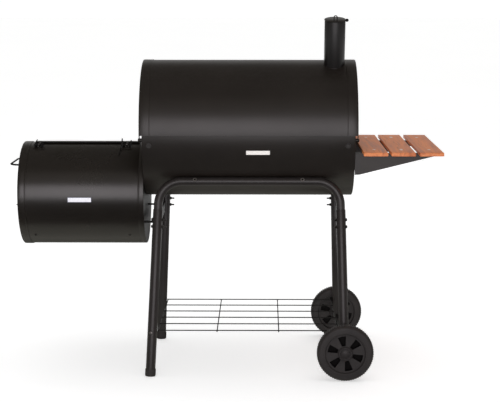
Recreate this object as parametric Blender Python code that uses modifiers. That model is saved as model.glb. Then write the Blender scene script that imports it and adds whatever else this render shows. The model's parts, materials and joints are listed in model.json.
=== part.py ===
"""Barrel charcoal grill with an offset side firebox, on two splayed tube frames with a pair of wheels.

Metres, +Z up. X runs along the barrel, from the firebox (-X) to the side shelf (+X). The lid hinges
on the -Y side and is lifted by its handle on the +Y side. The floor is Z = 0.
"""

import math

import bmesh
import bpy
from mathutils import Vector

GAP = 0.0003
SHEET = 0.0015

# Barrel: a lower half with flat ends, and a lid that overhangs them.
BARREL_Z = 0.877
BODY_R = 0.2484
BODY_X = (-0.285, 0.479)
BODY_RIM_Z = 0.8732
LID_R = 0.2555
LID_SKIN_R = 0.2543
LID_X = (-0.295, 0.489)
LID_EDGE_Z = 0.874
LID_BAND = 0.038
HINGE_Y = -0.235
HINGE_Z = 0.857
EAR_R = 0.0105
PIN_R = 0.004

# Firebox drum, with a slide-out end cap on the left and a door on the far upper quarter.
BOX_Z = 0.6345
BOX_R = 0.190
BOX_X = (-0.7425, -0.2855)
CAP_X = (-0.7457, -0.7145)
CAP_R = 0.1922
DOOR_X = (-0.700, -0.308)
DOOR_R = 0.1935
DOOR_ANGLES = (-9.0, 82.0)
DOOR_PIVOT = (-0.065, 0.823)
DOOR_ARMS_X = (-0.6805, -0.3555)
BRACKET_EAR_X = 0.0165
FLUE = (0.11, 0.048, 0.735)
DAMPER_Z = 0.587
DAMPER_PIN_Z = 0.625

# Chimney: a pipe that leans towards -Y, cut to the lid's curve.
PIPE_R = 0.038
PIPE_WALL = 0.0015
PIPE_TOP = Vector((0.4085, -0.1155, 1.281))
PIPE_AXIS = Vector((0.0, -0.225, 0.974)).normalized()
CAP_LUG = 0.0425
LUG_R = 0.0065

# Legs: two inverted-U tubes under the barrel, on four straight lower legs.
TUBE_R = 0.0159
TUBE_WALL = 0.0015
LEG_R = 0.0175
LEG_WALL = 0.0006
RUN_ANGLE = 41.0
SPLAY_Y = 0.115
LEFT_LEAN = 0.0475
RIGHT_LEAN = -0.030
LEFT_X_AT_FLOOR = -0.2597
RIGHT_X_AT_FLOOR = 0.4486
BEND_R = 0.085
RUN_BOLT_X = (-0.097, 0.2914)
SPLICE_Z = 0.603
U_END_Z = 0.535
FOOT_H = 0.030
FOOT_R = 0.0195
BRACE_Z = (0.530, 0.570)

WHEEL_R = 0.102
WHEEL_X = 0.4445
WHEEL_Y = 0.330
WHEEL_HALF = 0.024
AXLE_R = 0.006
WINDOW_R = 0.0455

SHELF_Z = 0.165
SHELF_WIRE_R = 0.002
SHELF_HALF_Y = 0.258
SHELF_WIRES = 6

SLAT_X = ((0.505, 0.591), (0.6025, 0.6885), (0.702, 0.788))
SLAT_Z = (0.808, 0.822)
SLAT_HALF_Y = 0.310
BRACKET_Y = 0.210

GRATE_Z = 0.846
PAN_Z = 0.700

RUN_Y = (BODY_R + TUBE_R + GAP) * math.cos(math.radians(RUN_ANGLE))
RUN_Z = BARREL_Z - (BODY_R + TUBE_R + GAP) * math.sin(math.radians(RUN_ANGLE))

MATERIALS = {
    "black_paint": ((0.030, 0.030, 0.031), 0.38, 0.0),
    "frame_paint": ((0.034, 0.030, 0.030), 0.48, 0.0),
    "black_plastic": ((0.035, 0.030, 0.030), 0.55, 0.0),
    "cast_iron": ((0.05, 0.05, 0.05), 0.7, 0.6),
    "zinc": ((0.55, 0.55, 0.53), 0.35, 1.0),
    "label": ((0.80, 0.80, 0.83), 0.4, 0.0),
    "stained_wood": ((0.40, 0.13, 0.065), 0.5, 0.0),
}


def clear_scene():
    for obj in list(bpy.data.objects):
        bpy.data.objects.remove(obj, do_unlink=True)


def new_collection(name, hidden=False):
    collection = bpy.data.collections.new(name)
    collection.hide_render = hidden
    bpy.context.scene.collection.children.link(collection)
    return collection


def make_material(name):
    colour, roughness, metallic = MATERIALS[name]
    material = bpy.data.materials.new(name)
    material.use_nodes = True
    shader = material.node_tree.nodes["Principled BSDF"]
    shader.inputs["Base Color"].default_value = (*colour, 1.0)
    shader.inputs["Roughness"].default_value = roughness
    shader.inputs["Metallic"].default_value = metallic
    return material


def place(obj, name, collection):
    """Name the object and move it to the given collection."""
    obj.name = name
    for old in list(obj.users_collection):
        old.objects.unlink(obj)
    collection.objects.link(obj)
    return obj


def as_cutter(obj):
    obj.hide_render = True
    obj.display_type = "WIRE"
    return place(obj, obj.name, CUTTERS)


def part(obj, name, material, smooth=True):
    """Turn a built shape into a named piece of the grill."""
    place(obj, name, PIECES)
    obj.data.materials.clear()
    obj.data.materials.append(SLOTS[material])
    if smooth:
        obj.data.shade_smooth()
        obj.data.set_sharp_from_angle(angle=math.radians(35))
    return obj


def boolean(obj, other, operation):
    modifier = obj.modifiers.new(f"{operation.lower()} {other.name}", "BOOLEAN")
    modifier.operation = operation
    modifier.object = as_cutter(other)


def cut(obj, *cutters):
    for cutter in cutters:
        boolean(obj, cutter, "DIFFERENCE")
    return obj


def fuse(obj, *others):
    for other in others:
        boolean(obj, other, "UNION")
    return obj


def bake(obj):
    """Replace an object with the mesh that its modifiers make."""
    graph = bpy.context.evaluated_depsgraph_get()
    mesh = bpy.data.meshes.new_from_object(obj.evaluated_get(graph))
    baked = bpy.data.objects.new(obj.name, mesh)
    baked.matrix_world = obj.matrix_world.copy()
    PIECES.objects.link(baked)
    weld(mesh)
    bpy.data.objects.remove(obj, do_unlink=True)
    return baked


def weld(mesh):
    bm = bmesh.new()
    bm.from_mesh(mesh)
    bmesh.ops.remove_doubles(bm, verts=bm.verts, dist=0.00001)
    bmesh.ops.recalc_face_normals(bm, faces=bm.faces)
    bm.to_mesh(mesh)
    bm.free()


def box(low, high, bevel=0.0):
    size = [b - a for a, b in zip(low, high)]
    middle = [(a + b) / 2 for a, b in zip(low, high)]
    bpy.ops.mesh.primitive_cube_add(size=1.0, location=middle)
    obj = bpy.context.object
    for vertex in obj.data.vertices:
        vertex.co = [c * s for c, s in zip(vertex.co, size)]
    if bevel:
        modifier = obj.modifiers.new("rounded edges", "BEVEL")
        modifier.width = bevel
        modifier.segments = 2
    return obj


def rod(start, end, radius, sides=16):
    """A solid cylinder between two points."""
    start, end = Vector(start), Vector(end)
    along = end - start
    bpy.ops.mesh.primitive_cylinder_add(
        vertices=sides, radius=radius, depth=along.length, location=(start + end) / 2
    )
    obj = bpy.context.object
    obj.rotation_euler = along.to_track_quat("Z", "Y").to_euler()
    return obj


def turned(start, direction, profile, steps=32):
    """A closed outline of (radius, height) points turned about the axis from start along direction."""
    mesh = bpy.data.meshes.new("profile")
    count = len(profile)
    edges = [(i, (i + 1) % count) for i in range(count)]
    if profile[0][0] == 0 and profile[-1][0] == 0:
        edges = edges[:-1]
    mesh.from_pydata([(r, 0.0, h) for r, h in profile], edges, [])
    obj = bpy.data.objects.new("turned", mesh)
    PIECES.objects.link(obj)
    obj.location = start
    obj.rotation_euler = Vector(direction).to_track_quat("Z", "Y").to_euler()
    screw = obj.modifiers.new("turn", "SCREW")
    screw.axis = "Z"
    screw.steps = screw.render_steps = steps
    screw.use_merge_vertices = True
    screw.merge_threshold = 0.00005
    bpy.context.view_layer.update()
    return bake(obj)


def ring(start, direction, outer, inner, length, steps=32):
    return turned(
        start, direction, [(outer, length), (outer, 0.0), (inner, 0.0), (inner, length)], steps
    )


def arc(centre, radius, first, last, count):
    """Points (y, z) on an arc, with angles in degrees from +Y towards +Z."""
    angles = [math.radians(first + (last - first) * i / count) for i in range(count + 1)]
    return [(centre[0] + radius * math.cos(a), centre[1] + radius * math.sin(a)) for a in angles]


def slab(outline, x_low, x_high):
    """A flat (y, z) outline, as thick as the distance between two X values."""
    curve = bpy.data.curves.new("outline", "CURVE")
    curve.dimensions = "2D"
    curve.fill_mode = "BOTH"
    curve.extrude = (x_high - x_low) / 2
    spline = curve.splines.new("POLY")
    spline.points.add(len(outline) - 1)
    for point, (y, z) in zip(spline.points, outline):
        point.co = (y, z, 0.0, 1.0)
    spline.use_cyclic_u = True
    obj = bpy.data.objects.new("slab", curve)
    PIECES.objects.link(obj)
    # The curve's X, Y and Z lie along the grill's Y, Z and X.
    obj.rotation_euler = (math.radians(90), 0.0, math.radians(90))
    obj.location = ((x_low + x_high) / 2, 0.0, 0.0)
    bpy.context.view_layer.update()
    return bake(obj)


def band(centre_z, outer, inner, first, last, x_low, x_high, count=40):
    """Part of a round shell along X: the sheet between two radii over a range of angles."""
    centre = (0.0, centre_z)
    outline = arc(centre, outer, first, last, count) + arc(centre, inner, last, first, count)
    return slab(outline, x_low, x_high)


def rounded_path(points, radius, steps=5):
    """The points of a polyline whose corners are arcs of the given radius."""
    points = [Vector(p) for p in points]
    path = [points[0]]
    for before, corner, after in zip(points, points[1:], points[2:]):
        to_before = (before - corner).normalized()
        to_after = (after - corner).normalized()
        half = to_before.angle(to_after) / 2
        setback = radius / math.tan(half)
        middle = corner + (to_before + to_after).normalized() * radius / math.sin(half)
        start = corner + to_before * setback - middle
        end = corner + to_after * setback - middle
        for i in range(steps + 1):
            path.append(middle + start.normalized().slerp(end.normalized(), i / steps) * radius)
    return path + [points[-1]]


def wire(points, radius, sides=12):
    """A solid round wire along points, as a closed mesh."""
    curve = bpy.data.curves.new("wire", "CURVE")
    curve.dimensions = "3D"
    curve.bevel_depth = radius
    curve.bevel_resolution = (sides - 4) // 2
    curve.use_fill_caps = True
    spline = curve.splines.new("POLY")
    spline.points.add(len(points) - 1)
    for point, place_at in zip(spline.points, points):
        point.co = (*place_at, 1.0)
    obj = bpy.data.objects.new("wire", curve)
    PIECES.objects.link(obj)
    bpy.context.view_layer.update()
    return bake(obj)


def tube(points, radius, wall, sides=14):
    """A hollow tube with open ends along points."""
    longer = list(points)
    longer[0] = points[0] + (points[0] - points[1]).normalized() * 0.01
    longer[-1] = points[-1] + (points[-1] - points[-2]).normalized() * 0.01
    return cut(wire(points, radius, sides), wire(longer, radius - wall, 10))


def on_drum(angle, radius, x):
    """A point on the firebox at an angle from its top towards +Y, in degrees."""
    a = math.radians(angle)
    return Vector((x, radius * math.sin(a), BOX_Z + radius * math.cos(a)))


def leg_y(z, side):
    return side * (RUN_Y + SPLAY_Y * (RUN_Z - z))


def left_leg(z, side):
    return Vector((LEFT_X_AT_FLOOR + LEFT_LEAN * z, leg_y(z, side), z))


def right_leg(z, side):
    return Vector((RIGHT_X_AT_FLOOR + RIGHT_LEAN * z, leg_y(z, side), z))


def bolt(seat, direction, head_r, shank_r, shank, name, material="zinc"):
    """A low domed bolt: its head stands on seat along direction, its shank runs the other way."""
    profile = [
        (0.0, 0.0045), (head_r * 0.6, 0.0038), (head_r, 0.0012), (head_r, GAP),
        (shank_r, GAP), (shank_r, -shank), (0.0, -shank),
    ]
    return part(turned(seat, direction, profile, 8), name, material)


def barrel():
    centre = (0.0, BARREL_Z)
    drop = math.degrees(math.asin((BARREL_Z - BODY_RIM_Z) / BODY_R))
    body = slab(arc(centre, BODY_R, 180 + drop, 360 - drop, 36), *BODY_X)
    inside_x = (BODY_X[0] + SHEET, BODY_X[1] - SHEET)
    cut(body, slab(arc(centre, BODY_R - SHEET, 0, 355, 71), *inside_x))
    # The barrel's flue hole is a little wider than the firebox's, so that the two needn't line up.
    half_w, half_h, middle_z = FLUE[0] + 0.004, FLUE[1] + 0.004, FLUE[2]
    cut(body, box((BODY_X[0] - 0.01, -half_w, middle_z - half_h),
                  (BODY_X[0] + 0.01, half_w, middle_z + half_h)))
    for x in BODY_X:
        cut(body, rod((x - 0.01, HINGE_Y, HINGE_Z), (x + 0.01, HINGE_Y, HINGE_Z), PIN_R + GAP, 12))
    part(body, "barrel_body", "black_paint")
    for name, x, out in (("left", LID_X[0], -1), ("right", LID_X[1], 1)):
        hinge_pin(f"lid_hinge_pin_{name}", x, out)
    # The grates rest by their edges on ledges along both walls.
    reach = wall_reach(GRATE_Z)
    for name, side in (("rear", -1), ("front", 1)):
        edges = sorted((side * (reach - 0.016), side * (reach - 0.004)))
        ledge = box((BODY_X[0] + 0.02, edges[0], GRATE_Z - 0.004),
                    (BODY_X[1] - 0.02, edges[1], GRATE_Z - 0.001))
        part(ledge, f"grate_ledge_{name}", "black_paint", smooth=False)


def wall_reach(z):
    """How far the barrel's inner wall is from its middle, in Y, at a height."""
    return math.sqrt((BODY_R - SHEET) ** 2 - (BARREL_Z - z) ** 2)


def hinge_pin(name, x, out):
    """A headed pin through the lid's ear and the barrel's end wall, with a collar between them."""
    profile = [
        (0.0, 0.005), (0.0055, 0.005), (0.0065, 0.004), (0.0065, 0.0005), (PIN_R, 0.0005),
        (PIN_R, -0.002), (0.0065, -0.002), (0.0065, -0.0095), (PIN_R, -0.0095),
        (PIN_R, -0.015), (0.0, -0.015),
    ]
    part(turned((x, HINGE_Y, HINGE_Z), (out, 0, 0), profile, 10), name, "zinc")


def lid_outline():
    """The end plate: a half disc with an ear that drops to the pivot."""
    rise = math.degrees(math.asin((LID_EDGE_Z - BARREL_Z) / LID_R))
    dome = arc((0.0, BARREL_Z), LID_R, rise, 180 - rise, 36)
    ear = arc((HINGE_Y, HINGE_Z), EAR_R, 180, 360, 10)
    return dome + ear + [(HINGE_Y + EAR_R, LID_EDGE_Z)]


def lid():
    rise = math.degrees(math.asin((LID_EDGE_Z + 0.0004 - BARREL_Z) / LID_SKIN_R))
    dome = arc((0.0, BARREL_Z), LID_SKIN_R, rise, 180 - rise, 36)
    shell = slab(dome, LID_X[0] + 0.0005, LID_X[1] - 0.0005)
    inside_x = (LID_X[0] + SHEET, LID_X[1] - SHEET)
    fuse(shell, slab(lid_outline(), LID_X[0], LID_X[0] + LID_BAND),
         slab(lid_outline(), LID_X[1] - LID_BAND, LID_X[1]))
    cut(shell, slab(arc((0.0, BARREL_Z), LID_SKIN_R - 0.0012, -3, 183, 36), *inside_x))
    cut(shell, box((inside_x[0], -0.3, 0.8), (inside_x[1], 0.3, LID_EDGE_Z + 0.0002)))
    for x in LID_X:
        cut(shell, rod((x - 0.01, HINGE_Y, HINGE_Z), (x + 0.01, HINGE_Y, HINGE_Z), PIN_R + GAP, 12))
    bore = PIPE_R - PIPE_WALL - 0.001
    cut(shell, rod(PIPE_TOP - PIPE_AXIS * 0.34, PIPE_TOP, bore, 24))
    for modifier in shell.modifiers:
        modifier.solver = "MANIFOLD"
    part(shell, "lid", "black_paint")
    lid_handle()


def lid_handle():
    """A bar across the lid's +Y side, on two stand-off posts."""
    angle = math.radians(14)
    out = Vector((0.0, math.cos(angle), math.sin(angle)))
    foot = Vector((0.0, 0.0, BARREL_Z)) + out * (LID_R + GAP)
    tip = foot + out * 0.055
    x_low, x_high = -0.053, 0.247
    points = [foot + Vector((x_low, 0, 0)), tip + Vector((x_low, 0, 0)),
              tip + Vector((x_high, 0, 0)), foot + Vector((x_high, 0, 0))]
    part(wire(rounded_path(points, 0.022, 5), 0.0065, 8), "lid_handle", "black_paint")


def chimney():
    base = PIPE_TOP - PIPE_AXIS * 0.26
    lug = PIPE_TOP + Vector((CAP_LUG, 0, 0))
    pipe = rod(base, PIPE_TOP, PIPE_R, 32)
    fuse(pipe, rod(lug - PIPE_AXIS * 0.0040, lug - PIPE_AXIS * 0.0004, LUG_R, 16))
    # The foot follows the lid's curve.
    cut(pipe,
        rod(base - PIPE_AXIS * 0.01, PIPE_TOP + PIPE_AXIS * 0.01, PIPE_R - PIPE_WALL, 32),
        rod((LID_X[0], 0, BARREL_Z), (LID_X[1], 0, BARREL_Z), LID_R + 0.0006, 128),
        rod(lug - PIPE_AXIS * 0.03, lug + PIPE_AXIS * 0.03, 0.0028, 12))
    part(pipe, "chimney_pipe", "black_paint")
    pin_profile = [
        (0.0, 0.0046), (0.0036, 0.0043), (0.0036, 0.0030), (0.0022, 0.0030), (0.0022, -0.0045),
        (0.0038, -0.0045), (0.0038, -0.0062), (0.0, -0.0062),
    ]
    part(turned(lug, PIPE_AXIS, pin_profile, 10), "chimney_cap_pin", "zinc")
    chimney_cap(lug)


def chimney_cap(lug):
    """A flat disc that swings about the lug's pin, with an upright finger loop at its front."""
    low, high = PIPE_AXIS * 0.0005, PIPE_AXIS * 0.0025
    disc = rod(PIPE_TOP + low, PIPE_TOP + high, PIPE_R + 0.0015, 32)
    fuse(disc, rod(lug + low * 1.2, lug + high * 0.96, LUG_R, 16))
    forward = Vector((1, 0, 0)).cross(PIPE_AXIS)
    if forward.y > 0:
        forward.negate()
    edge = PIPE_TOP + forward * (PIPE_R - 0.006)
    loop = [edge + PIPE_AXIS * 0.001 - Vector((0.0055, 0, 0)),
            edge + PIPE_AXIS * 0.024 - Vector((0.0055, 0, 0)),
            edge + PIPE_AXIS * 0.024 + Vector((0.0055, 0, 0)),
            edge + PIPE_AXIS * 0.001 + Vector((0.0055, 0, 0))]
    fuse(disc, wire(rounded_path(loop, 0.005, 4), 0.0016, 8))
    cut(disc, rod(lug - PIPE_AXIS * 0.03, lug + PIPE_AXIS * 0.03, 0.0026, 12))
    part(disc, "chimney_cap", "black_paint")


def firebox():
    length = BOX_X[1] - BOX_X[0]
    shell = ring((BOX_X[0], 0, BOX_Z), (1, 0, 0), BOX_R, BOX_R - SHEET, length, 48)
    first, last = DOOR_ANGLES[0] + 7, DOOR_ANGLES[1] - 6
    opening = band(BOX_Z, BOX_R + 0.02, BOX_R - 0.02, 90 - last, 90 - first,
                   DOOR_X[0] + 0.014, DOOR_X[1] - 0.014, 16)
    cut(shell, opening)
    part(shell, "firebox", "black_paint")
    wall = rod((BOX_X[1] - SHEET, 0, BOX_Z), (BOX_X[1], 0, BOX_Z), BOX_R - SHEET - GAP, 48)
    half_w, half_h, middle_z = FLUE
    cut(wall, box((BOX_X[1] - 0.02, -half_w, middle_z - half_h),
                  (BOX_X[1] + 0.02, half_w, middle_z + half_h)))
    part(wall, "firebox_inner_end", "black_paint")
    for name, x in zip(("left", "right"), DOOR_ARMS_X):
        door_bracket(f"firebox_hinge_bracket_{name}", x)


def door_bracket(name, x):
    """Two upright ears on the drum, with a pin between them that carries the door's arm."""
    y, z = DOOR_PIVOT
    x_left, x_right = x - BRACKET_EAR_X, x + BRACKET_EAR_X
    foot = on_drum(-22, BOX_R + 0.0018, x)
    base = box((x_left - 0.004, foot.y - 0.012, foot.z - 0.0014),
               (x_right + 0.004, foot.y + 0.010, foot.z + 0.0014))
    base.rotation_euler = (math.radians(22), 0, 0)
    pin = rod((x_left - 0.003, y, z), (x_right + 0.003, y, z), 0.0022, 12)
    left_top, right_top = (0.023, 0.017) if name.endswith("right") else (0.019, 0.004)
    left = box((x_left - 0.002, y - 0.010, z - 0.020), (x_left + 0.002, y + 0.003, z + left_top))
    right = box((x_right - 0.002, y - 0.010, z - 0.020), (x_right + 0.002, y + 0.003, z + right_top))
    piece = fuse(base, pin, left, right)
    if name.endswith("right"):
        fuse(piece, retaining_wire(x_left))
    # The base and ears stop just above the drum.
    cut(piece, rod((x - 0.05, 0, BOX_Z), (x + 0.05, 0, BOX_Z), BOX_R + 0.0004, 160))
    part(piece, name, "black_paint", smooth=False)


def retaining_wire(x):
    """A stiff wire from the right bracket's pin, bent down over the drum."""
    y, z = DOOR_PIVOT
    points = [Vector((x - 0.001, y + 0.001, z)), Vector((x - 0.002, y - 0.016, z - 0.001)),
              on_drum(-38, BOX_R + 0.004, x - 0.0075)]
    return wire(rounded_path(points, 0.006, 4), 0.0016, 8)


def firebox_door():
    first, last = DOOR_ANGLES
    panel = band(BOX_Z, DOOR_R, DOOR_R - SHEET, 90 - last, 90 - first, *DOOR_X, 24)
    hem_centre = on_drum(first, DOOR_R + 0.0012, 0)
    fuse(panel, rod((DOOR_X[0] + 0.001, hem_centre.y, hem_centre.z),
                    (DOOR_X[1] - 0.001, hem_centre.y, hem_centre.z), 0.003, 12))
    y, z = DOOR_PIVOT
    for x in DOOR_ARMS_X:
        eye = rod((x - 0.0035, y, z), (x + 0.0035, y, z), 0.0052, 16)
        reach = Vector((0, hem_centre.y - y, hem_centre.z - z))
        arm = box((-0.0035, 0.0, -0.001), (0.0035, reach.length, 0.001))
        arm.rotation_euler = (math.atan2(reach.z, reach.y), 0, 0)
        arm.location = Vector((x, y, z)) + reach / 2
        fuse(panel, eye, arm)
        cut(panel, rod((x - 0.01, y, z), (x + 0.01, y, z), 0.0026, 12))
    part(panel, "firebox_door", "black_paint")
    door_handle()


def door_handle():
    out = on_drum(66, 1.0, 0) - Vector((0, 0, BOX_Z))
    foot = on_drum(66, DOOR_R + GAP, 0)
    tip = foot + out * 0.038
    x_low, x_high = -0.574, -0.434
    points = [foot + Vector((x_low, 0, 0)), tip + Vector((x_low, 0, 0)),
              tip + Vector((x_high, 0, 0)), foot + Vector((x_high, 0, 0))]
    part(wire(rounded_path(points, 0.012, 4), 0.003, 8), "firebox_door_handle", "black_paint")


def ash_drawer():
    """The left end cap, which draws out the ash pan and its grate."""
    cap = ring((CAP_X[0], 0, BOX_Z), (1, 0, 0), CAP_R, CAP_R - SHEET, CAP_X[1] - CAP_X[0], 48)
    fuse(cap, rod((CAP_X[0], 0, BOX_Z), (CAP_X[0] + SHEET, 0, BOX_Z), CAP_R - 0.0004, 48))
    cut(cap, rod((CAP_X[0] - 0.01, 0, DAMPER_Z), (CAP_X[0] + 0.01, 0, DAMPER_Z), 0.018, 20))
    cut(cap, rod((CAP_X[0] - 0.01, 0, DAMPER_PIN_Z), (CAP_X[0] + 0.01, 0, DAMPER_PIN_Z),
                 0.0023, 12))
    part(cap, "firebox_end_cap", "black_paint")
    # The pan is a trough that follows the drum's lower wall.
    pan_r = BOX_R - SHEET - 0.002
    low_x, high_x = CAP_X[0] + SHEET + GAP, BOX_X[1] - 0.014
    pan = band(BOX_Z, pan_r, pan_r - 0.0012, 210, 330, low_x, high_x, 28)
    half = math.sqrt(pan_r**2 - (pan_r * 0.5) ** 2)
    end = arc((0.0, BOX_Z), pan_r - 0.0003, 210, 330, 28)
    for x in (low_x, high_x - 0.0012):
        fuse(pan, slab(end, x + 0.0001, x + 0.0011))
    part(pan, "ash_pan", "black_paint")
    grate_z = BOX_Z - pan_r * 0.5 + 0.0004
    # The grate stops short of the pan's inner end, so that ash can be raked off it.
    grate("fire_grate", low_x + 0.012, high_x - 0.090, half - 0.003, grate_z, 8)
    handle_x = CAP_X[0] - GAP
    points = [(handle_x, -0.105, 0.751), (handle_x - 0.0386, -0.105, 0.751),
              (handle_x - 0.0386, 0.105, 0.751), (handle_x, 0.105, 0.751)]
    part(wire(rounded_path(points, 0.035, 6), 0.0034, 8), "end_cap_handle", "black_paint")
    damper()


def damper():
    """A round shutter over the air hole, on a rivet above it, with a finger tab."""
    back = CAP_X[0] - GAP
    disc = rod((back - 0.0015, 0, DAMPER_Z), (back, 0, DAMPER_Z), 0.024, 24)
    fuse(disc, box((back - 0.0015, -0.011, DAMPER_Z), (back, 0.011, DAMPER_PIN_Z + 0.009)))
    fuse(disc, box((back - 0.036, -0.009, DAMPER_Z - 0.001),
                   (back - 0.001, 0.009, DAMPER_Z + 0.001)))
    cut(disc, rod((back - 0.01, 0, DAMPER_PIN_Z), (back + 0.01, 0, DAMPER_PIN_Z), 0.0026, 12))
    part(disc, "damper", "black_paint", smooth=False)
    profile = [
        (0.0, 0.0040), (0.0052, 0.0036), (0.0052, 0.0022), (0.0020, 0.0022), (0.0020, -0.0020),
        (0.0045, -0.0020), (0.0045, -0.0035), (0.0, -0.0035),
    ]
    part(turned((CAP_X[0], 0, DAMPER_PIN_Z), (-1, 0, 0), profile, 8), "damper_rivet", "zinc")


def grate(name, x_low, x_high, half_y, z, slots):
    """A flat cast grate: a plate with slots along Y in two rows."""
    plate = box((x_low, -half_y, z), (x_high, half_y, z + 0.006))
    pitch = (x_high - x_low - 0.008) / slots
    for i in range(slots):
        start = x_low + 0.008 + i * pitch
        for side in (-1, 1):
            ends = sorted((side * 0.005, side * (half_y - 0.010)))
            cut(plate, box((start, ends[0], z - 0.01), (start + pitch - 0.008, ends[1], z + 0.02)))
    return part(plate, name, "cast_iron", smooth=False)


def grill_inside():
    reach = wall_reach(GRATE_Z) - 0.002
    middle = (BODY_X[0] + BODY_X[1]) / 2
    grate("cooking_grate_left", BODY_X[0] + 0.012, middle - 0.001, reach, GRATE_Z, 11)
    grate("cooking_grate_right", middle + 0.001, BODY_X[1] - 0.012, reach, GRATE_Z, 11)
    half = wall_reach(PAN_Z) - 0.002
    pan = box((BODY_X[0] + 0.014, -half, PAN_Z), (BODY_X[1] - 0.03, half, PAN_Z + 0.020))
    cut(pan, box((BODY_X[0] + 0.0155, 0.0015 - half, PAN_Z + 0.0015),
                 (BODY_X[1] - 0.0315, half - 0.0015, PAN_Z + 0.05)))
    part(pan, "charcoal_pan", "black_paint", smooth=False)


def frames():
    for name, side in (("rear", -1), ("front", 1)):
        corner_left = left_leg(RUN_Z, side)
        corner_right = right_leg(RUN_Z, side)
        points = rounded_path(
            [left_leg(U_END_Z, side), corner_left, corner_right, right_leg(U_END_Z, side)], BEND_R)
        part(tube(points, TUBE_R, TUBE_WALL), f"frame_tube_{name}", "frame_paint")
        left = tube([left_leg(0.004, side), left_leg(SPLICE_Z, side)], LEG_R, LEG_WALL)
        part(left, f"leg_left_{name}", "frame_paint")
        # The right legs stop above the ground, with a hole for the axle.
        right = tube([right_leg(0.083, side), right_leg(SPLICE_Z, side)], LEG_R, LEG_WALL)
        y = leg_y(WHEEL_R, side)
        cut(right, rod((WHEEL_X, y - 0.04, WHEEL_R), (WHEEL_X, y + 0.04, WHEEL_R), AXLE_R + GAP, 16))
        part(right, f"leg_right_{name}", "frame_paint")
        foot(f"foot_{name}", side)
        for index, x in enumerate(RUN_BOLT_X, 1):
            top = Vector((x, side * RUN_Y, RUN_Z))
            lean = Vector((0, side * 0.857, 0.515)).normalized()
            bolt(top + lean * (TUBE_R + 0.0004), lean, 0.0078, 0.003, 0.0002,
                 f"frame_bolt_{name}_{index}")


def foot(name, side):
    low, high = left_leg(-0.01, side), left_leg(FOOT_H, side)
    cap = rod(low, high, FOOT_R, 24)
    cut(cap, rod(left_leg(0.0035, side), left_leg(0.05, side), LEG_R + GAP, 24))
    cut(cap, box((low.x - 0.06, low.y - 0.06, -0.05), (low.x + 0.06, low.y + 0.06, 0.0)))
    part(cap, name, "black_plastic")


def braces():
    """Flat bars that tie the front and rear legs, and the rods that steady the firebox."""
    z_low, z_high = BRACE_Z
    middle = (z_low + z_high) / 2
    reach = leg_y(z_high, 1) - LEG_R - 0.0008
    for name, leg_at, lean in (("left", left_leg, LEFT_LEAN), ("right", right_leg, RIGHT_LEAN)):
        x = leg_at(middle, 1).x
        plate = box((x - 0.0015, -reach, z_low), (x + 0.0015, reach, z_high))
        plate.rotation_euler = (0, math.atan(lean), 0)
        part(plate, f"leg_brace_{name}", "frame_paint", smooth=False)
    x_start, x_brace = BOX_X[1] + 0.0004, left_leg(middle, 1).x
    lower = rod((x_start, -0.165, 0.5495), (x_brace - 0.0030, -0.165, 0.5495), 0.0050, 16)
    part(lower, "firebox_strut_lower", "frame_paint")
    # The upper strut is a rod whose end is bent down along the brace.
    x_down = x_brace - 0.0065
    path = rounded_path([(x_start, 0, 0.5895), (x_down, 0, 0.5895), (x_down, 0, 0.545)], 0.008, 4)
    part(wire(path, 0.0035, 12), "firebox_strut_upper", "frame_paint")


def wheels():
    for name, side in (("rear", -1), ("front", 1)):
        wheel(name, side)
        y_leg = leg_y(WHEEL_R, side)
        start = y_leg + side * (LEG_R + 0.0022)
        length = WHEEL_Y - WHEEL_HALF + 0.004 - abs(start)
        spacer = ring((WHEEL_X, start, WHEEL_R), (0, side, 0), 0.0105, AXLE_R + GAP, length, 12)
        part(spacer, f"wheel_spacer_{name}", "black_plastic")
    tip = WHEEL_Y + WHEEL_HALF - 0.004
    part(rod((WHEEL_X, -tip, WHEEL_R), (WHEEL_X, tip, WHEEL_R), AXLE_R, 20), "axle", "zinc")


def wheel(name, side):
    """A moulded wheel: a flat-faced tyre band round a dished web with six windows."""
    bore, half = AXLE_R + GAP * 1.5, WHEEL_HALF
    profile = [
        (WHEEL_R - 0.007, half), (WHEEL_R, half - 0.009), (WHEEL_R, 0.009 - half),
        (WHEEL_R - 0.007, -half), (0.076, -half), (0.074, 0.006 - half), (0.024, 0.006 - half),
        (0.022, 0.005 - half), (bore, 0.005 - half), (bore, half - 0.005), (0.022, half - 0.005),
        (0.024, half - 0.008), (0.070, half - 0.008), (0.076, half),
    ]
    body = turned((WHEEL_X, side * WHEEL_Y, WHEEL_R), (0, side, 0), profile, 30)
    for i in range(6):
        a = math.radians(42 + 60 * i)
        window = box((-0.0185, -0.06, -0.011), (0.0185, 0.06, 0.011))
        for vertex in window.data.vertices:
            vertex.co.z *= 1.35 if vertex.co.x > 0 else 0.75
        across, up = WINDOW_R * math.cos(a), WINDOW_R * math.sin(a)
        window.location = (WHEEL_X + across, side * WHEEL_Y, WHEEL_R + up)
        window.rotation_euler = (0, -a, 0)
        cut(body, window)
    part(body, f"wheel_{name}", "black_plastic")
    face = side * (WHEEL_Y + half - 0.005 + GAP)
    # The hub cap has a pocket for the axle's end.
    profile = [
        (0.0, 0.005), (0.013, 0.004), (0.016, 0.001), (0.016, 0.0), (0.0075, 0.0),
        (0.0075, 0.0025), (0.0, 0.0025),
    ]
    cap = turned((WHEEL_X, face, WHEEL_R), (0, side, 0), profile, 16)
    part(cap, f"hub_cap_{name}", "black_plastic")


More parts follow.
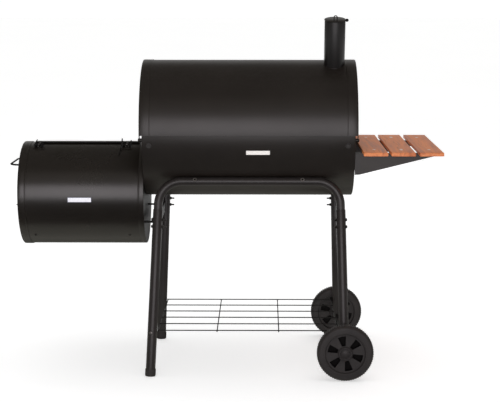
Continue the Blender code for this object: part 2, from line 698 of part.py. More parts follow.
def wire_shelf():
    x_low, x_high = left_leg(SHELF_Z, 1).x + LEG_R + 0.0006, 0.4255
    step = 2 * SHELF_HALF_Y / (SHELF_WIRES - 1)
    wires = []
    for i in range(SHELF_WIRES):
        y = -SHELF_HALF_Y + i * step
        wires.append(rod((x_low, y, SHELF_Z), (x_high - 0.001, y, SHELF_Z), SHELF_WIRE_R, 6))
    # The cross wires lie under the long ones and sink into them, as welded wires do.
    reach, cross_z = SHELF_HALF_Y + 0.006, SHELF_Z - 0.0031
    for x in (x_low + 0.003, -0.0172, 0.2067, x_high - 0.003):
        wires.append(rod((x, -reach, cross_z), (x, reach, cross_z), SHELF_WIRE_R, 6))
    part(fuse(*wires), "wire_shelf", "frame_paint")


def side_shelf():
    for index, (x_low, x_high) in enumerate(SLAT_X, 1):
        slat = box((x_low, -SLAT_HALF_Y, SLAT_Z[0]), (x_high, SLAT_HALF_Y, SLAT_Z[1]), 0.003)
        part(slat, f"shelf_slat_{index}", "stained_wood")
    for name, side in (("rear", -1), ("front", 1)):
        bracket(f"shelf_bracket_{name}", side * BRACKET_Y)


def bracket(name, y):
    """A folded sheet bracket: a tapering web, a top flange under the slats and a wall flange."""
    wall, tip, top = BODY_X[1] + 0.0004, 0.780, SLAT_Z[0] - GAP
    web = slab_xz([(wall, 0.729), (tip, top - 0.006), (tip, top), (wall, top)], y - 0.001, y + 0.001)
    fuse(web, box((wall, y - 0.0008, top - 0.002), (tip - 0.0005, y + 0.022, top - 0.0002)))
    fuse(web, box((wall + 0.0001, y - 0.0007, 0.745), (wall + 0.002, y + 0.022, top - 0.001)))
    part(web, name, "black_paint", smooth=False)


def slab_xz(outline, y_low, y_high):
    """A flat (x, z) outline, as thick as the distance between two Y values."""
    half = (y_high - y_low) / 2
    obj = slab(outline, -half, half)
    obj.matrix_world.identity()
    obj.rotation_euler = (math.radians(90), 0, 0)
    obj.location = (0, (y_low + y_high) / 2, 0)
    return obj


def plates():
    """A blank flat plate on the barrel and one on the firebox."""
    tilt, radius = math.radians(15), BODY_R + 0.0009
    plate = box((-0.0435, -0.0005, -0.00875), (0.0435, 0.0005, 0.00875))
    plate.location = (0.131, -radius * math.cos(tilt), BARREL_Z - radius * math.sin(tilt))
    plate.rotation_euler = (tilt, 0, 0)
    part(plate, "name_plate_blank", "zinc", smooth=False)
    label = box((-0.043, -0.0003, -0.0087), (0.043, 0.0003, 0.0087))
    label.location = (-0.5185, -(BOX_R + 0.0007), BOX_Z - 0.001)
    part(label, "firebox_label_blank", "label", smooth=False)


def body_bolts():
    """The bolt heads that show on the -Y side of the barrel and of the firebox."""
    drop = math.radians(9.0)
    out = Vector((0, -math.cos(drop), -math.sin(drop)))
    for name, x in (("left", -0.2595), ("right", 0.4530)):
        seat = Vector((x, 0, BARREL_Z)) + out * BODY_R
        bolt(seat, out, 0.0095, 0.003, 0.0, f"barrel_bolt_{name}", "black_paint")
    drop = math.radians(47.7)
    out = Vector((0, -math.cos(drop), -math.sin(drop)))
    for name, x in (("left", -0.690), ("right", -0.342)):
        seat = Vector((x, 0, BOX_Z)) + out * BOX_R
        bolt(seat, out, 0.005, 0.002, 0.0, f"firebox_bolt_{name}", "black_paint")


clear_scene()
PIECES = new_collection("Barrel grill")
CUTTERS = new_collection("Cutters", hidden=True)
SLOTS = {name: make_material(name) for name in MATERIALS}
barrel()
lid()
chimney()
firebox()
firebox_door()
ash_drawer()
grill_inside()
frames()
braces()
wheels()
wire_shelf()
side_shelf()
plates()
body_bolts()
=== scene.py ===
"""The looks of a barrel charcoal grill with a side firebox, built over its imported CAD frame."""

import json
import math
from contextlib import contextmanager

import bmesh
import bpy
from mathutils import Matrix, Vector


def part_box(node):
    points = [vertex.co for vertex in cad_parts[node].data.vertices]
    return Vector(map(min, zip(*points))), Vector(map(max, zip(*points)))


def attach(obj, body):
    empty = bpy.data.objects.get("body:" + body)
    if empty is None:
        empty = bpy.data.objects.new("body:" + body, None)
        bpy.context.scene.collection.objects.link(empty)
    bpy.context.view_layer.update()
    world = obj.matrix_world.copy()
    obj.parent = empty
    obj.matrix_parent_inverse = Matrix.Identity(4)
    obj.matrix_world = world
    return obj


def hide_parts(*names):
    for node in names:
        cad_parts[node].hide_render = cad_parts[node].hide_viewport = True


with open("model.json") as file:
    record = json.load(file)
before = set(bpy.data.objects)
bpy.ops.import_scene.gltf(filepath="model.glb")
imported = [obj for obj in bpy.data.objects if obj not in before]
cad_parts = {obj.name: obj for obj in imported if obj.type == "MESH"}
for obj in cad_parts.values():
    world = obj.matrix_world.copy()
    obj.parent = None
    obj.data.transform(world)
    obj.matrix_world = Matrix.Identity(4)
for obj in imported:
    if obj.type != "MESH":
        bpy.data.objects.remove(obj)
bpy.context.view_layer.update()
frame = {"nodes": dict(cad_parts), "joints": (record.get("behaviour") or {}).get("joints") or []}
NODES = frame["nodes"]
SCENE = bpy.context.scene
X_AXIS = Vector((1, 0, 0))
Y_AXIS = Vector((0, 1, 0))
Z_AXIS = Vector((0, 0, 1))
WHITE = (1.0, 1.0, 1.0)


# ---------------------------------------------------------------- materials


class Nodes:
    """A material's node tree, with short calls for the nodes used here."""

    def __init__(self, name):
        self.material = bpy.data.materials.new(name)
        self.material.use_nodes = True
        self.tree = self.material.node_tree
        self.shader = self.tree.nodes["Principled BSDF"]
        self.place = self.node("ShaderNodeTexCoord").outputs["Object"]

    def node(self, kind, **values):
        made = self.tree.nodes.new(kind)
        for key, value in values.items():
            setattr(made, key, value)
        return made

    def link(self, source, target):
        self.tree.links.new(source, target)

    def stretched(self, scale, shift=(0.0, 0.0, 0.0)):
        """The place on the piece, shifted, and stretched by scale along each axis."""
        mapping = self.node("ShaderNodeMapping")
        mapping.inputs["Location"].default_value = shift
        mapping.inputs["Scale"].default_value = scale
        self.link(self.place, mapping.inputs["Vector"])
        return mapping.outputs["Vector"]

    def noise(self, scale, detail=3.0, roughness=0.55, place=None, distortion=0.0):
        made = self.node("ShaderNodeTexNoise")
        made.inputs["Scale"].default_value = scale
        made.inputs["Detail"].default_value = detail
        made.inputs["Roughness"].default_value = roughness
        made.inputs["Distortion"].default_value = distortion
        self.link(place or self.place, made.inputs["Vector"])
        return made.outputs["Fac"]

    def ramp(self, factor, stops):
        made = self.node("ShaderNodeValToRGB")
        for _ in stops[2:]:
            made.color_ramp.elements.new(0.5)
        for element, (position, colour) in zip(made.color_ramp.elements, stops):
            element.position = position
            element.color = (*colour, 1.0) if len(colour) == 3 else colour
        self.link(factor, made.inputs["Fac"])
        return made.outputs["Color"]

    def spread(self, factor, low, high, start=0.3, end=0.7):
        """factor from start to end, spread over low to high."""
        made = self.node("ShaderNodeMapRange")
        for name, value in (("From Min", start), ("From Max", end), ("To Min", low), ("To Max", high)):
            made.inputs[name].default_value = value
        self.link(factor, made.inputs["Value"])
        return made.outputs["Result"]

    def mix(self, factor, first, second, blend="MIX"):
        made = self.node("ShaderNodeMix", data_type="RGBA", blend_type=blend)
        for value, name in ((factor, "Factor"), (first, 6), (second, 7)):
            socket = made.inputs[name]
            if isinstance(value, bpy.types.NodeSocket):
                self.link(value, socket)
            elif isinstance(value, tuple):
                socket.default_value = (*value, 1.0)
            else:
                socket.default_value = value
        return made.outputs[2]

    def bump(self, height, strength, distance, under=None):
        made = self.node("ShaderNodeBump")
        made.inputs["Strength"].default_value = strength
        made.inputs["Distance"].default_value = distance
        self.link(height, made.inputs["Height"])
        if under is not None:
            self.link(under, made.inputs["Normal"])
        return made.outputs["Normal"]

    def finish(self, colour=None, roughness=None, normal=None, **fixed):
        for socket, value in (("Base Color", colour), ("Roughness", roughness), ("Normal", normal)):
            if value is not None:
                self.link(value, self.shader.inputs[socket])
        for name, value in fixed.items():
            self.shader.inputs[name.replace("_", " ")].default_value = value
        return self.material


def enamel(name, dark, light, low, high, grain=1400.0, depth=0.00004, gloss=0.5):
    """Sprayed black paint: a fine orange peel, soft gloss patches and a breath of dust where it faces up."""
    n = Nodes(name)
    patches = n.noise(6.0, 4.0)
    colour = n.ramp(patches, [(0.3, dark), (0.7, light)])
    facing = n.node("ShaderNodeSeparateXYZ")
    n.link(n.node("ShaderNodeNewGeometry").outputs["Normal"], facing.inputs["Vector"])
    dust = n.mix(1.0, n.spread(facing.outputs["Z"], 0.0, 1.0, 0.55, 1.0),
                 n.spread(n.noise(90.0, 5.0, 0.7), 0.0, 1.0, 0.45, 0.8), "MULTIPLY")
    colour = n.mix(n.spread(dust, 0.0, 0.16, 0.0, 1.0), colour, (0.11, 0.105, 0.10))
    rough = n.spread(n.noise(2.6, 5.0, 0.6), low, high)
    peel = n.bump(n.noise(grain, 2.0, 0.5), 0.35, depth)
    waves = n.bump(n.noise(9.0, 2.0, 0.4), 0.12, 0.0012, peel)
    return n.finish(colour, rough, waves, Specular_IOR_Level=gloss)


def moulded(name, dark, light, low, high, grain=2600.0, depth=0.00006, gloss=0.45):
    """Black moulded plastic or rubber, with a fine spark-eroded grain."""
    n = Nodes(name)
    colour = n.ramp(n.noise(14.0, 4.0), [(0.3, dark), (0.7, light)])
    rough = n.spread(n.noise(30.0, 3.0), low, high)
    normal = n.bump(n.noise(grain, 2.0, 0.6), 0.5, depth)
    return n.finish(colour, rough, normal, Specular_IOR_Level=gloss)


def metal(name, dark, light, low, high, stretch=(1.0, 1.0, 1.0), grain=500.0, metallic=1.0):
    """Bare or plated metal, brushed along one way by its stretch."""
    n = Nodes(name)
    place = n.stretched(stretch)
    colour = n.ramp(n.noise(40.0, 4.0), [(0.3, dark), (0.7, light)])
    rough = n.spread(n.noise(grain, 3.0, place=place), low, high)
    normal = n.bump(n.noise(grain, 2.0, place=place), 0.2, 0.00002)
    return n.finish(colour, rough, normal, Metallic=metallic)


def iron(name):
    n = Nodes(name)
    colour = n.ramp(n.noise(25.0, 5.0, 0.7), [(0.3, (0.018, 0.017, 0.016)), (0.75, (0.05, 0.044, 0.04))])
    rough = n.spread(n.noise(60.0, 3.0), 0.55, 0.8)
    normal = n.bump(n.noise(420.0, 4.0, 0.7), 0.6, 0.0003)
    return n.finish(colour, rough, normal, Metallic=0.3)


def stained_wood(name, shift):
    """Red-brown stained slats, with the grain along Y and a few dark streaks."""
    n = Nodes(name)
    along = n.stretched((1.0, 0.055, 1.0), (shift * 1.7, shift * 0.9, shift * 0.31))
    figure = n.noise(34.0, 6.0, 0.62, along, 1.4)
    colour = n.ramp(figure, [(0.28, (0.40, 0.092, 0.022)), (0.44, (0.62, 0.176, 0.050)),
                             (0.62, (0.78, 0.255, 0.082)), (0.80, (0.50, 0.128, 0.034))])
    streaks = n.spread(n.noise(150.0, 4.0, 0.7, along), 0.0, 0.62, 0.54, 0.74)
    colour = n.mix(streaks, colour, (0.20, 0.052, 0.018))
    pores = n.noise(900.0, 3.0, 0.6, along)
    rough = n.spread(figure, 0.36, 0.54)
    normal = n.bump(pores, 0.35, 0.0002, n.bump(figure, 0.25, 0.0006))
    return n.finish(colour, rough, normal, Coat_Weight=0.12, Coat_Roughness=0.35)


def printed(name, colour, rough):
    n = Nodes(name)
    darker = tuple(c * 0.9 for c in colour)
    shade = n.ramp(n.noise(35.0, 3.0), [(0.35, darker), (0.7, colour)])
    return n.finish(shade, n.spread(n.noise(80.0, 2.0), rough - 0.05, rough + 0.08))


def glow(material, colour, strength):
    """Light of the material's own: a faint fill on the small plates, and the studio's white."""
    shader = material.node_tree.nodes["Principled BSDF"]
    shader.inputs["Emission Color"].default_value = (*colour, 1.0)
    shader.inputs["Emission Strength"].default_value = strength


DARK_PAINT = enamel("bracket_enamel", (0.0050, 0.0042, 0.0040), (0.0080, 0.0070, 0.0066), 0.44, 0.54,
                    gloss=0.25)
# Painted shade: a near-black floor for the run bolts' hexagon sockets, standing in for the shade in the hole.
SOCKET_PAINTED_SHADE = enamel("bolt_socket_painted_shade", (0.0015, 0.0015, 0.0015), (0.0025, 0.0025, 0.0025), 0.7, 0.8, gloss=0.1)
CHIMNEY_BLACK = enamel("chimney_enamel", (0.0070, 0.0060, 0.0058), (0.0100, 0.0088, 0.0086), 0.30, 0.38,
                       gloss=0.34)
BLACK = enamel("barrel_enamel", (0.0128, 0.0100, 0.0082), (0.0166, 0.0131, 0.0108), 0.30, 0.38)
FIREBOX_BLACK = enamel("firebox_enamel", (0.0092, 0.0070, 0.0052), (0.0126, 0.0098, 0.0074), 0.25, 0.32,
                       gloss=0.66)
FRAME_BLACK = enamel("frame_enamel", (0.0160, 0.0130, 0.0125), (0.0225, 0.0186, 0.0178), 0.32, 0.42)
INSIDE_BLACK = enamel("inside_enamel", (0.010, 0.010, 0.010), (0.016, 0.016, 0.016), 0.5, 0.62)
PLASTIC = moulded("foot_plastic", (0.018, 0.015, 0.015), (0.026, 0.022, 0.021), 0.5, 0.62)
TYRE = moulded("tyre_plastic", (0.021, 0.0180, 0.0178), (0.030, 0.0258, 0.0250), 0.50, 0.64, 1800.0, 0.0001)
# Painted shade: a far darker copy of the tyre plastic for the wheel windows' walls and floors, standing in for
# the shade in the recesses.
RECESS_PAINTED_SHADE = moulded("recess_painted_shade", (0.0045, 0.0038, 0.0038), (0.0065, 0.0056, 0.0055), 0.75, 0.85, gloss=0.15)
HUB = moulded("hub_plastic", (0.020, 0.017, 0.017), (0.030, 0.025, 0.025), 0.38, 0.48)
IRON = iron("cast_iron_grate")
ZINC = metal("zinc_plated", (0.60, 0.60, 0.58), (0.82, 0.82, 0.80), 0.28, 0.42, metallic=0.5)
SCREW = metal("screw_head", (0.80, 0.76, 0.72), (0.92, 0.88, 0.84), 0.4, 0.5, metallic=0.2)
DARK_STEEL = metal("blackened_steel", (0.05, 0.048, 0.046), (0.10, 0.096, 0.092), 0.32, 0.46)
BOLT_PAINT = enamel("bolt_enamel", (0.022, 0.020, 0.019), (0.030, 0.027, 0.026), 0.30, 0.40, gloss=0.7)
BOLT_STEEL = metal("bolt_steel", (0.20, 0.19, 0.185), (0.32, 0.30, 0.29), 0.30, 0.42)
PLATE = metal("brushed_plate", (0.80, 0.77, 0.74), (0.92, 0.89, 0.86), 0.34, 0.5, (0.05, 1.0, 1.0), 900.0, 0.2)
glow(PLATE, (1.0, 0.97, 0.94), 0.17)
PLATE_EDGE = metal("plate_border", (0.20, 0.19, 0.18), (0.30, 0.29, 0.28), 0.3, 0.45)
LABEL = printed("label_white", (0.84, 0.84, 0.90), 0.4)
glow(LABEL, (0.93, 0.93, 1.0), 0.17)
LABEL_EDGE = printed("label_border", (0.30, 0.33, 0.42), 0.4)
WOOD = [stained_wood(f"stained_wood_{i}", 3.1 * i) for i in (1, 2, 3)]


# ---------------------------------------------------------------- building


def added(name, data):
    """A new object in the scene."""
    obj = bpy.data.objects.new(name, data)
    SCENE.collection.objects.link(obj)
    return obj


def new_object(name, mesh, material):
    mesh.materials.append(material)
    return added(name, mesh)


def from_bmesh(name, bm, material, fix_normals=True):
    if fix_normals:
        bmesh.ops.recalc_face_normals(bm, faces=bm.faces)
    mesh = bpy.data.meshes.new(name)
    bm.to_mesh(mesh)
    bm.free()
    return new_object(name, mesh, material)


@contextmanager
def edited(obj):
    """The object's mesh, open as a bmesh for the length of a with block."""
    bm = bmesh.new()
    bm.from_mesh(obj.data)
    yield bm
    bm.to_mesh(obj.data)
    bm.free()


def baked(obj):
    """The object's modifiers applied to its mesh."""
    graph = bpy.context.evaluated_depsgraph_get()
    mesh = bpy.data.meshes.new_from_object(obj.evaluated_get(graph))
    old = obj.data
    obj.modifiers.clear()
    obj.data = mesh
    if old.users == 0 and isinstance(old, bpy.types.Mesh):
        bpy.data.meshes.remove(old)
    return obj


def shaded(obj, angle=32.0):
    obj.data.shade_smooth()
    obj.data.set_sharp_from_angle(angle=math.radians(angle))
    return obj


def piece(obj, body, slot, *replaced, angle=32.0):
    """A finished piece of the grill: shaded, riding on its body, standing for CAD nodes."""
    shaded(obj, angle)
    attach(obj, body)
    if replaced:
        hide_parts(*replaced)


def softened(obj, width, segments=2):
    modifier = obj.modifiers.new("soft edges", "BEVEL")
    modifier.width = width
    modifier.segments = segments
    modifier.limit_method = "ANGLE"
    modifier.angle_limit = math.radians(35.0)
    modifier.harden_normals = False
    return baked(obj)


def moved(obj, at, angle, axis="X"):
    """The mesh turned about an axis through its origin and moved to a point."""
    obj.data.transform(Matrix.Translation(at) @ Matrix.Rotation(angle, 4, axis))
    return obj


def cut_by(obj, *cutters):
    """Cutters taken out of a mesh; the new faces wear the cutter's material."""
    for cutter in cutters:
        modifier = obj.modifiers.new("cut", "BOOLEAN")
        modifier.operation = "DIFFERENCE"
        modifier.object = cutter
        modifier.material_mode = "TRANSFER"
        baked(obj)
        bpy.data.objects.remove(cutter, do_unlink=True)
    return obj


def joined(name, *objects):
    """Several meshes made one object, each keeping its own material."""
    with bpy.context.temp_override(active_object=objects[0], selected_editable_objects=list(objects)):
        bpy.ops.object.join()
    objects[0].name = name
    return objects[0]


def grid_faces(rows, columns, close_rows=False, close_columns=False):
    """Quads between rows of columns points each."""
    faces = []
    for r in range(rows if close_rows else rows - 1):
        for c in range(columns if close_columns else columns - 1):
            a, b = r * columns + c, r * columns + (c + 1) % columns
            d, e = ((r + 1) % rows) * columns + c, ((r + 1) % rows) * columns + (c + 1) % columns
            faces.append((a, b, e, d))
    return faces


def swept(name, profile, centre_z, first, last, steps, material, thickness=0.0):
    """An (x, radius) outline swept about the X line at centre_z, between two angles from +Y towards +Z."""
    full = abs(last - first) >= 360
    count = steps if full else steps + 1
    verts = []
    for i in range(count):
        a = math.radians(first + (last - first) * i / steps)
        verts += [(x, r * math.cos(a), centre_z + r * math.sin(a)) for x, r in profile]
    mesh = bpy.data.meshes.new(name)
    mesh.from_pydata(verts, [], grid_faces(count, len(profile), close_rows=full))
    obj = new_object(name, mesh, material)
    if thickness:
        modifier = obj.modifiers.new("sheet", "SOLIDIFY")
        modifier.thickness = thickness
        modifier.offset = 0.0
        modifier.use_even_offset = True
        baked(obj)
    with edited(obj) as bm:
        bmesh.ops.remove_doubles(bm, verts=bm.verts, dist=0.00001)
        bmesh.ops.recalc_face_normals(bm, faces=bm.faces)
    return obj


def lathe(name, start, direction, profile, steps, material, wobble=None):
    """A closed (radius, height) outline turned about an axis; wobble changes a point's radius by step."""
    turn = Vector(direction).to_track_quat("Z", "Y")
    verts = []
    for i in range(steps):
        a = 2 * math.pi * i / steps
        for r, h in profile:
            r = wobble(i, r, h) if wobble else r
            verts.append(Vector(start) + turn @ Vector((r * math.cos(a), r * math.sin(a), h)))
    bm = bmesh.new()
    made = [bm.verts.new(v) for v in verts]
    hollow = profile[0][0] > 1e-6 or profile[-1][0] > 1e-6
    for face in grid_faces(steps, len(profile), close_rows=True, close_columns=hollow):
        bm.faces.new([made[i] for i in face])
    bmesh.ops.remove_doubles(bm, verts=bm.verts, dist=0.000005)
    bmesh.ops.dissolve_degenerate(bm, edges=bm.edges, dist=0.000001)
    return from_bmesh(name, bm, material)


def rect(inner, outer, first, last):
    """A lathe outline between two radii and two heights."""
    return [(inner, first), (outer, first), (outer, last), (inner, last)]


def bridged(rings):
    """A closed bmesh through rings of points: side faces between them, and a face on both ends."""
    bm = bmesh.new()
    rings = [[bm.verts.new(point) for point in ring] for ring in rings]
    for ring in (rings[0], rings[-1][::-1]):
        bm.faces.new(ring)
    for first, second in zip(rings, rings[1:]):
        for a, b, c, d in zip(first, second, second[1:] + second[:1], first[1:] + first[:1]):
            bm.faces.new((a, b, c, d))
    return bm


def mirrored(half, total, axis=0):
    """An outline's first half, then its mirror image; total is the sum of the two ends' places."""
    return half + [tuple(total - v if i == axis else v for i, v in enumerate(point))
                   for point in reversed(half)]


def slab(name, outline, low, high, material, axis="X"):
    """A flat outline given thickness along X, or along Y where the outline is in x and z."""
    place = (lambda a, b, t: (t, a, b)) if axis == "X" else (lambda a, b, t: (a, t, b))
    return from_bmesh(name, bridged([[place(a, b, t) for a, b in outline] for t in (low, high)]), material)


def block(name, low, high, material, bevel=0.0, segments=2):
    bm = bmesh.new()
    bmesh.ops.create_cube(bm, size=1.0)
    size, middle = Vector(high) - Vector(low), (Vector(high) + Vector(low)) / 2
    for vertex in bm.verts:
        vertex.co = Vector(c * s for c, s in zip(vertex.co, size)) + middle
    obj = from_bmesh(name, bm, material)
    return softened(obj, bevel, segments) if bevel else obj


def pipe(name, points, radius, material, sides=24):
    """A round tube along points, as a mesh with flat closed ends."""
    points = [Vector(p) for p in points]
    tangents = []
    for i, p in enumerate(points):
        before, after = points[max(i - 1, 0)], points[min(i + 1, len(points) - 1)]
        tangents.append((after - before).normalized())
    up = tangents[0].orthogonal().normalized()
    angles = [2 * math.pi * k / sides for k in range(sides)]
    rings = []
    for i, (p, t) in enumerate(zip(points, tangents)):
        if i:
            up = tangents[i - 1].rotation_difference(t) @ up
        side = t.cross(up)
        rings.append([p + (up * math.cos(a) + side * math.sin(a)) * radius for a in angles])
    return from_bmesh(name, bridged(rings), material)


def rounded(points, radius, steps=10):
    """A polyline with its corners rounded to arcs."""
    points = [Vector(p) for p in points]
    path = [points[0]]
    for before, corner, after in zip(points, points[1:], points[2:]):
        to_before, to_after = (before - corner).normalized(), (after - corner).normalized()
        half = to_before.angle(to_after) / 2
        middle = corner + (to_before + to_after).normalized() * radius / math.sin(half)
        start = corner + to_before * radius / math.tan(half) - middle
        end = corner + to_after * radius / math.tan(half) - middle
        for i in range(steps + 1):
            path.append(middle + start.normalized().slerp(end.normalized(), i / steps) * radius)
    return path + [points[-1]]


def staple(foot, tip, first, last):
    """The four corners of a handle that stands out from foot to tip at two places along X."""
    return [foot + X_AXIS * first, tip + X_AXIS * first, tip + X_AXIS * last, foot + X_AXIS * last]


def around(degrees, radius, z=0.0):
    """A point round an X line at height z, at an angle from +Y towards +Z."""
    a = math.radians(degrees)
    return Vector((0, radius * math.cos(a), z + radius * math.sin(a)))


def arc(centre, radius, first, last, count):
    angles = [math.radians(first + (last - first) * i / count) for i in range(count + 1)]
    return [(centre[0] + radius * math.cos(a), centre[1] + radius * math.sin(a)) for a in angles]


def hex_bolt(name, seat, out, across, height, material):
    """A hexagon head on a washer, with a domed top."""
    out = Vector(out).normalized()
    r = across / math.sqrt(3)
    head = lathe(name, Vector(seat) + out * 0.0007, out,
                 [(0.0, 0.0), (r, 0.0), (r, height * 0.75), (r * 0.86, height), (0.0, height)], 6, material)
    washer = lathe("washer", seat, out, rect(0.0, r * 1.25, 0.0, 0.0007), 24, material)
    return joined(name, head, washer)


def dome_bolt(name, seat, out, radius, height, material, recess=True):
    """A round-headed machine screw, with a cross recess."""
    count = 7
    profile = [(0.0, 0.0), (radius, 0.0), (radius, height * 0.18)]
    for i in range(1, count):
        a = math.pi / 2 * i / count
        profile.append((radius * math.cos(a), height * (0.18 + 0.82 * math.sin(a))))
    profile.append((0.0, height))
    head = lathe(name, seat, out, profile, 28, material)
    if recess:
        out = Vector(out).normalized()
        side = out.orthogonal().normalized()
        other = out.cross(side)
        for direction, across in ((side, other), (other, side)):
            slot = block("slot", (-0.5, -0.5, -0.5), (0.5, 0.5, 0.5), material)
            basis = Matrix((direction * radius * 0.85, across * radius * 0.17,
                            out * height * 0.9)).transposed()
            slot.matrix_world = Matrix.Translation(Vector(seat) + out * height * 1.05) @ basis.to_4x4()
            bpy.context.view_layer.update()
            cut_by(head, slot)
    return head


def squared(way, line):
    """The unit vector nearest to way that is square to a line."""
    return (way - line * way.dot(line)).normalized()


def centre_of(node):
    low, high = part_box(node)
    return (low + high) / 2


# ---------------------------------------------------------------- sizes, from the frame

LID_LOW, LID_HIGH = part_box("lid")
LID_R = (LID_HIGH.y - LID_LOW.y) / 2
BARREL_Z = LID_HIGH.z - LID_R
SKIN_R = LID_R - 0.0012
LID_EDGE_Z = BARREL_Z - 0.003
BODY_LOW, BODY_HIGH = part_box("barrel_body")
BODY_R = BARREL_Z - BODY_LOW.z
BAND = 0.038
HINGE = Vector(frame["joints"][0]["pos_m"])
EAR_R = HINGE.z - LID_LOW.z

BOX_LOW, BOX_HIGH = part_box("firebox")
BOX_R = (BOX_HIGH.y - BOX_LOW.y) / 2
BOX_Z = (BOX_HIGH.z + BOX_LOW.z) / 2
CAP_LOW, CAP_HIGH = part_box("firebox_end_cap")
CAP_R = (CAP_HIGH.y - CAP_LOW.y) / 2
DOOR_LOW, DOOR_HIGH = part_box("firebox_door")
DOOR_R = BOX_R + 0.0035

JOINTS = {joint["name"]: joint for joint in frame["joints"]}
SHEET = 0.0015
CAP_LUG = X_AXIS * 0.0425
PIPE_R = 0.0379
CLOSED_DOOR = (8, 99)
BRACKET_HALF = 0.0205
BRACKET_EAR_X = 0.0165
TUBE_R = 0.0159
BEND_R = 0.085
LEG_R = 0.0175
LEG_LEAN = {"left": 0.0475, "right": -0.030}
SPLICE_Z = {-1: (0.566, 0.5405), 1: (0.5815, 0.5555)}
SHELF_BOLT_Z = 0.158
WIRE_R = 0.002
WINDOWS = 6
FIRST_WINDOW = 42


# ---------------------------------------------------------------- barrel and lid


def stepped_band(low, high, band_r, skin_r, edge=0.0022):
    """An (x, radius) outline of a skin with a raised, soft-edged band at both ends."""
    return mirrored([(low, band_r - edge), (low + 0.0006, band_r - 0.0007), (low + 0.002, band_r),
                     (low + BAND - 0.003, band_r), (low + BAND - 0.0014, band_r - 0.0003),
                     (low + BAND, skin_r)], low + high)


def barrel_body():
    drop = math.degrees(math.asin((BARREL_Z - BODY_HIGH.z) / BODY_R))
    low, high, half = BODY_LOW.x, BODY_HIGH.x, SHEET / 2
    rim = BODY_R - half
    profile = mirrored([(low + 0.0008, rim - 0.0016), (low + 0.0016, rim - 0.0004), (low + 0.003, rim)],
                       low + high)
    shell = swept("barrel_shell", profile, BARREL_Z, 180 + drop, 360 - drop, 120, BLACK, SHEET)
    ends = []
    for name, x in (("left", low), ("right", high - SHEET)):
        outline = arc((0.0, BARREL_Z), BODY_R - 0.0022, 180 + drop, 360 - drop, 96)
        end = slab("end", outline, x, x + SHEET, BLACK)
        if name == "left":
            cut_by(end, flue(x))
        cut_by(end, pin_hole(x, HINGE, 0.0045, 24))
        if name == "right":
            # A pressed ring stiffens the bare end.
            outside = x + SHEET
            ends.append(swept("bead", [(outside - 0.0006, 0.197), (outside + 0.0010, 0.199),
                                       (outside + 0.0010, 0.203), (outside - 0.0006, 0.205)],
                              BARREL_Z, 186, 354, 90, BLACK))
        ends.append(end)
    # The sheet is folded over into a narrow hem along both rims.
    for side in (-1, 1):
        y = side * rim * math.cos(math.radians(drop))
        y, z = y - side * 0.0012, BODY_HIGH.z - 0.0016
        ends.append(pipe("hem", [(low + 0.004, y, z), (high - 0.004, y, z)], 0.0016, BLACK, 12))
    piece(joined("barrel_shell", shell, *ends), "frame", "black_paint", "barrel_body")


def flue(x):
    """The cutter for the hole between the firebox and the barrel."""
    return block("flue", (x - 0.02, -0.11, 0.687), (x + 0.02, 0.11, 0.783), BLACK, 0.03, 6)


def pin_hole(x, at, radius, steps):
    return lathe("hole", (x - 0.01, at.y, at.z), X_AXIS, rect(0.0, radius, 0.0, 0.02), steps, BLACK)


def lid():
    rise = math.degrees(math.asin((LID_EDGE_Z - BARREL_Z) / LID_R))
    half = 0.0006
    profile = stepped_band(LID_LOW.x + 0.0006, LID_HIGH.x - 0.0006, LID_R - half, SKIN_R - half)
    shell = swept("lid_shell", profile, BARREL_Z, rise, 180 - rise, 160, BLACK, 2 * half)
    parts = [shell]
    for x in (LID_LOW.x + 0.0003, LID_HIGH.x - 0.0018):
        outline = arc((0.0, BARREL_Z), LID_R - 0.0020, rise, 180 - rise, 120)
        outline += arc((HINGE.y, HINGE.z), EAR_R - 0.0002, 180, 360, 20)
        outline += [(HINGE.y + EAR_R, LID_EDGE_Z)]
        end = slab("lid_end", outline, x, x + SHEET, BLACK)
        parts.append(cut_by(end, pin_hole(x, HINGE, 0.0045, 24)))
    lid_piece = joined("lid_shell", *parts)
    bore = Vector(JOINTS["chimney_cap_swivel"]["axis"])
    top = Vector(JOINTS["chimney_cap_swivel"]["pos_m"]) - CAP_LUG
    cut_by(lid_piece, lathe("stack_bore", top - bore * 0.32, bore,
                            rect(0.0, 0.0352, 0.0, 0.3), 64, BLACK))
    piece(lid_piece, "lid", "black_paint", "lid")
    lid_handle()
    for side in ("left", "right"):
        hinge_pin(side)


def lid_handle():
    low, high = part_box("lid_handle")
    out = around(14, 1.0)
    foot = around(14, LID_R + 0.0004, BARREL_Z)
    tip = foot + out * 0.0545
    ends = (low.x + 0.0065, high.x - 0.0065)
    parts = [pipe("lid_handle_bar", rounded(staple(foot, tip, *ends), 0.022, 12), 0.0062, DARK_STEEL, 24)]
    for x in ends:
        parts.append(lathe("flange", foot + X_AXIS * x, out,
                           [(0.0062, 0.0), (0.0145, 0.0), (0.0145, 0.0012), (0.0085, 0.003), (0.0062, 0.0045)],
                           36, DARK_STEEL))
    piece(joined("lid_handle_bar", *parts), "lid", "black_paint", "lid_handle")


def hinge_pin(side):
    node = f"lid_hinge_pin_{side}"
    low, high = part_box(node)
    sign = -1 if side == "left" else 1
    x = (low.x if side == "left" else high.x) - sign * 0.005
    out = X_AXIS * sign
    seat = Vector((x, *HINGE.yz))
    head = dome_bolt(f"hinge_bolt_{side}", seat + out * 0.0006, out, 0.0064, 0.004, DARK_STEEL)
    shank = lathe("shank", seat, out, rect(0.0, 0.0039, 0.001, -0.0148), 24, DARK_STEEL)
    collar = lathe("collar", seat, out, rect(0.0039, 0.0064, -0.002, -0.0094), 24, DARK_STEEL)
    nut = lathe("nut", seat, out, rect(0.0039, 0.0063, -0.0118, -0.0145), 6, DARK_STEEL)
    piece(joined(f"hinge_bolt_{side}", head, shank, collar, nut), "frame", "zinc", node)


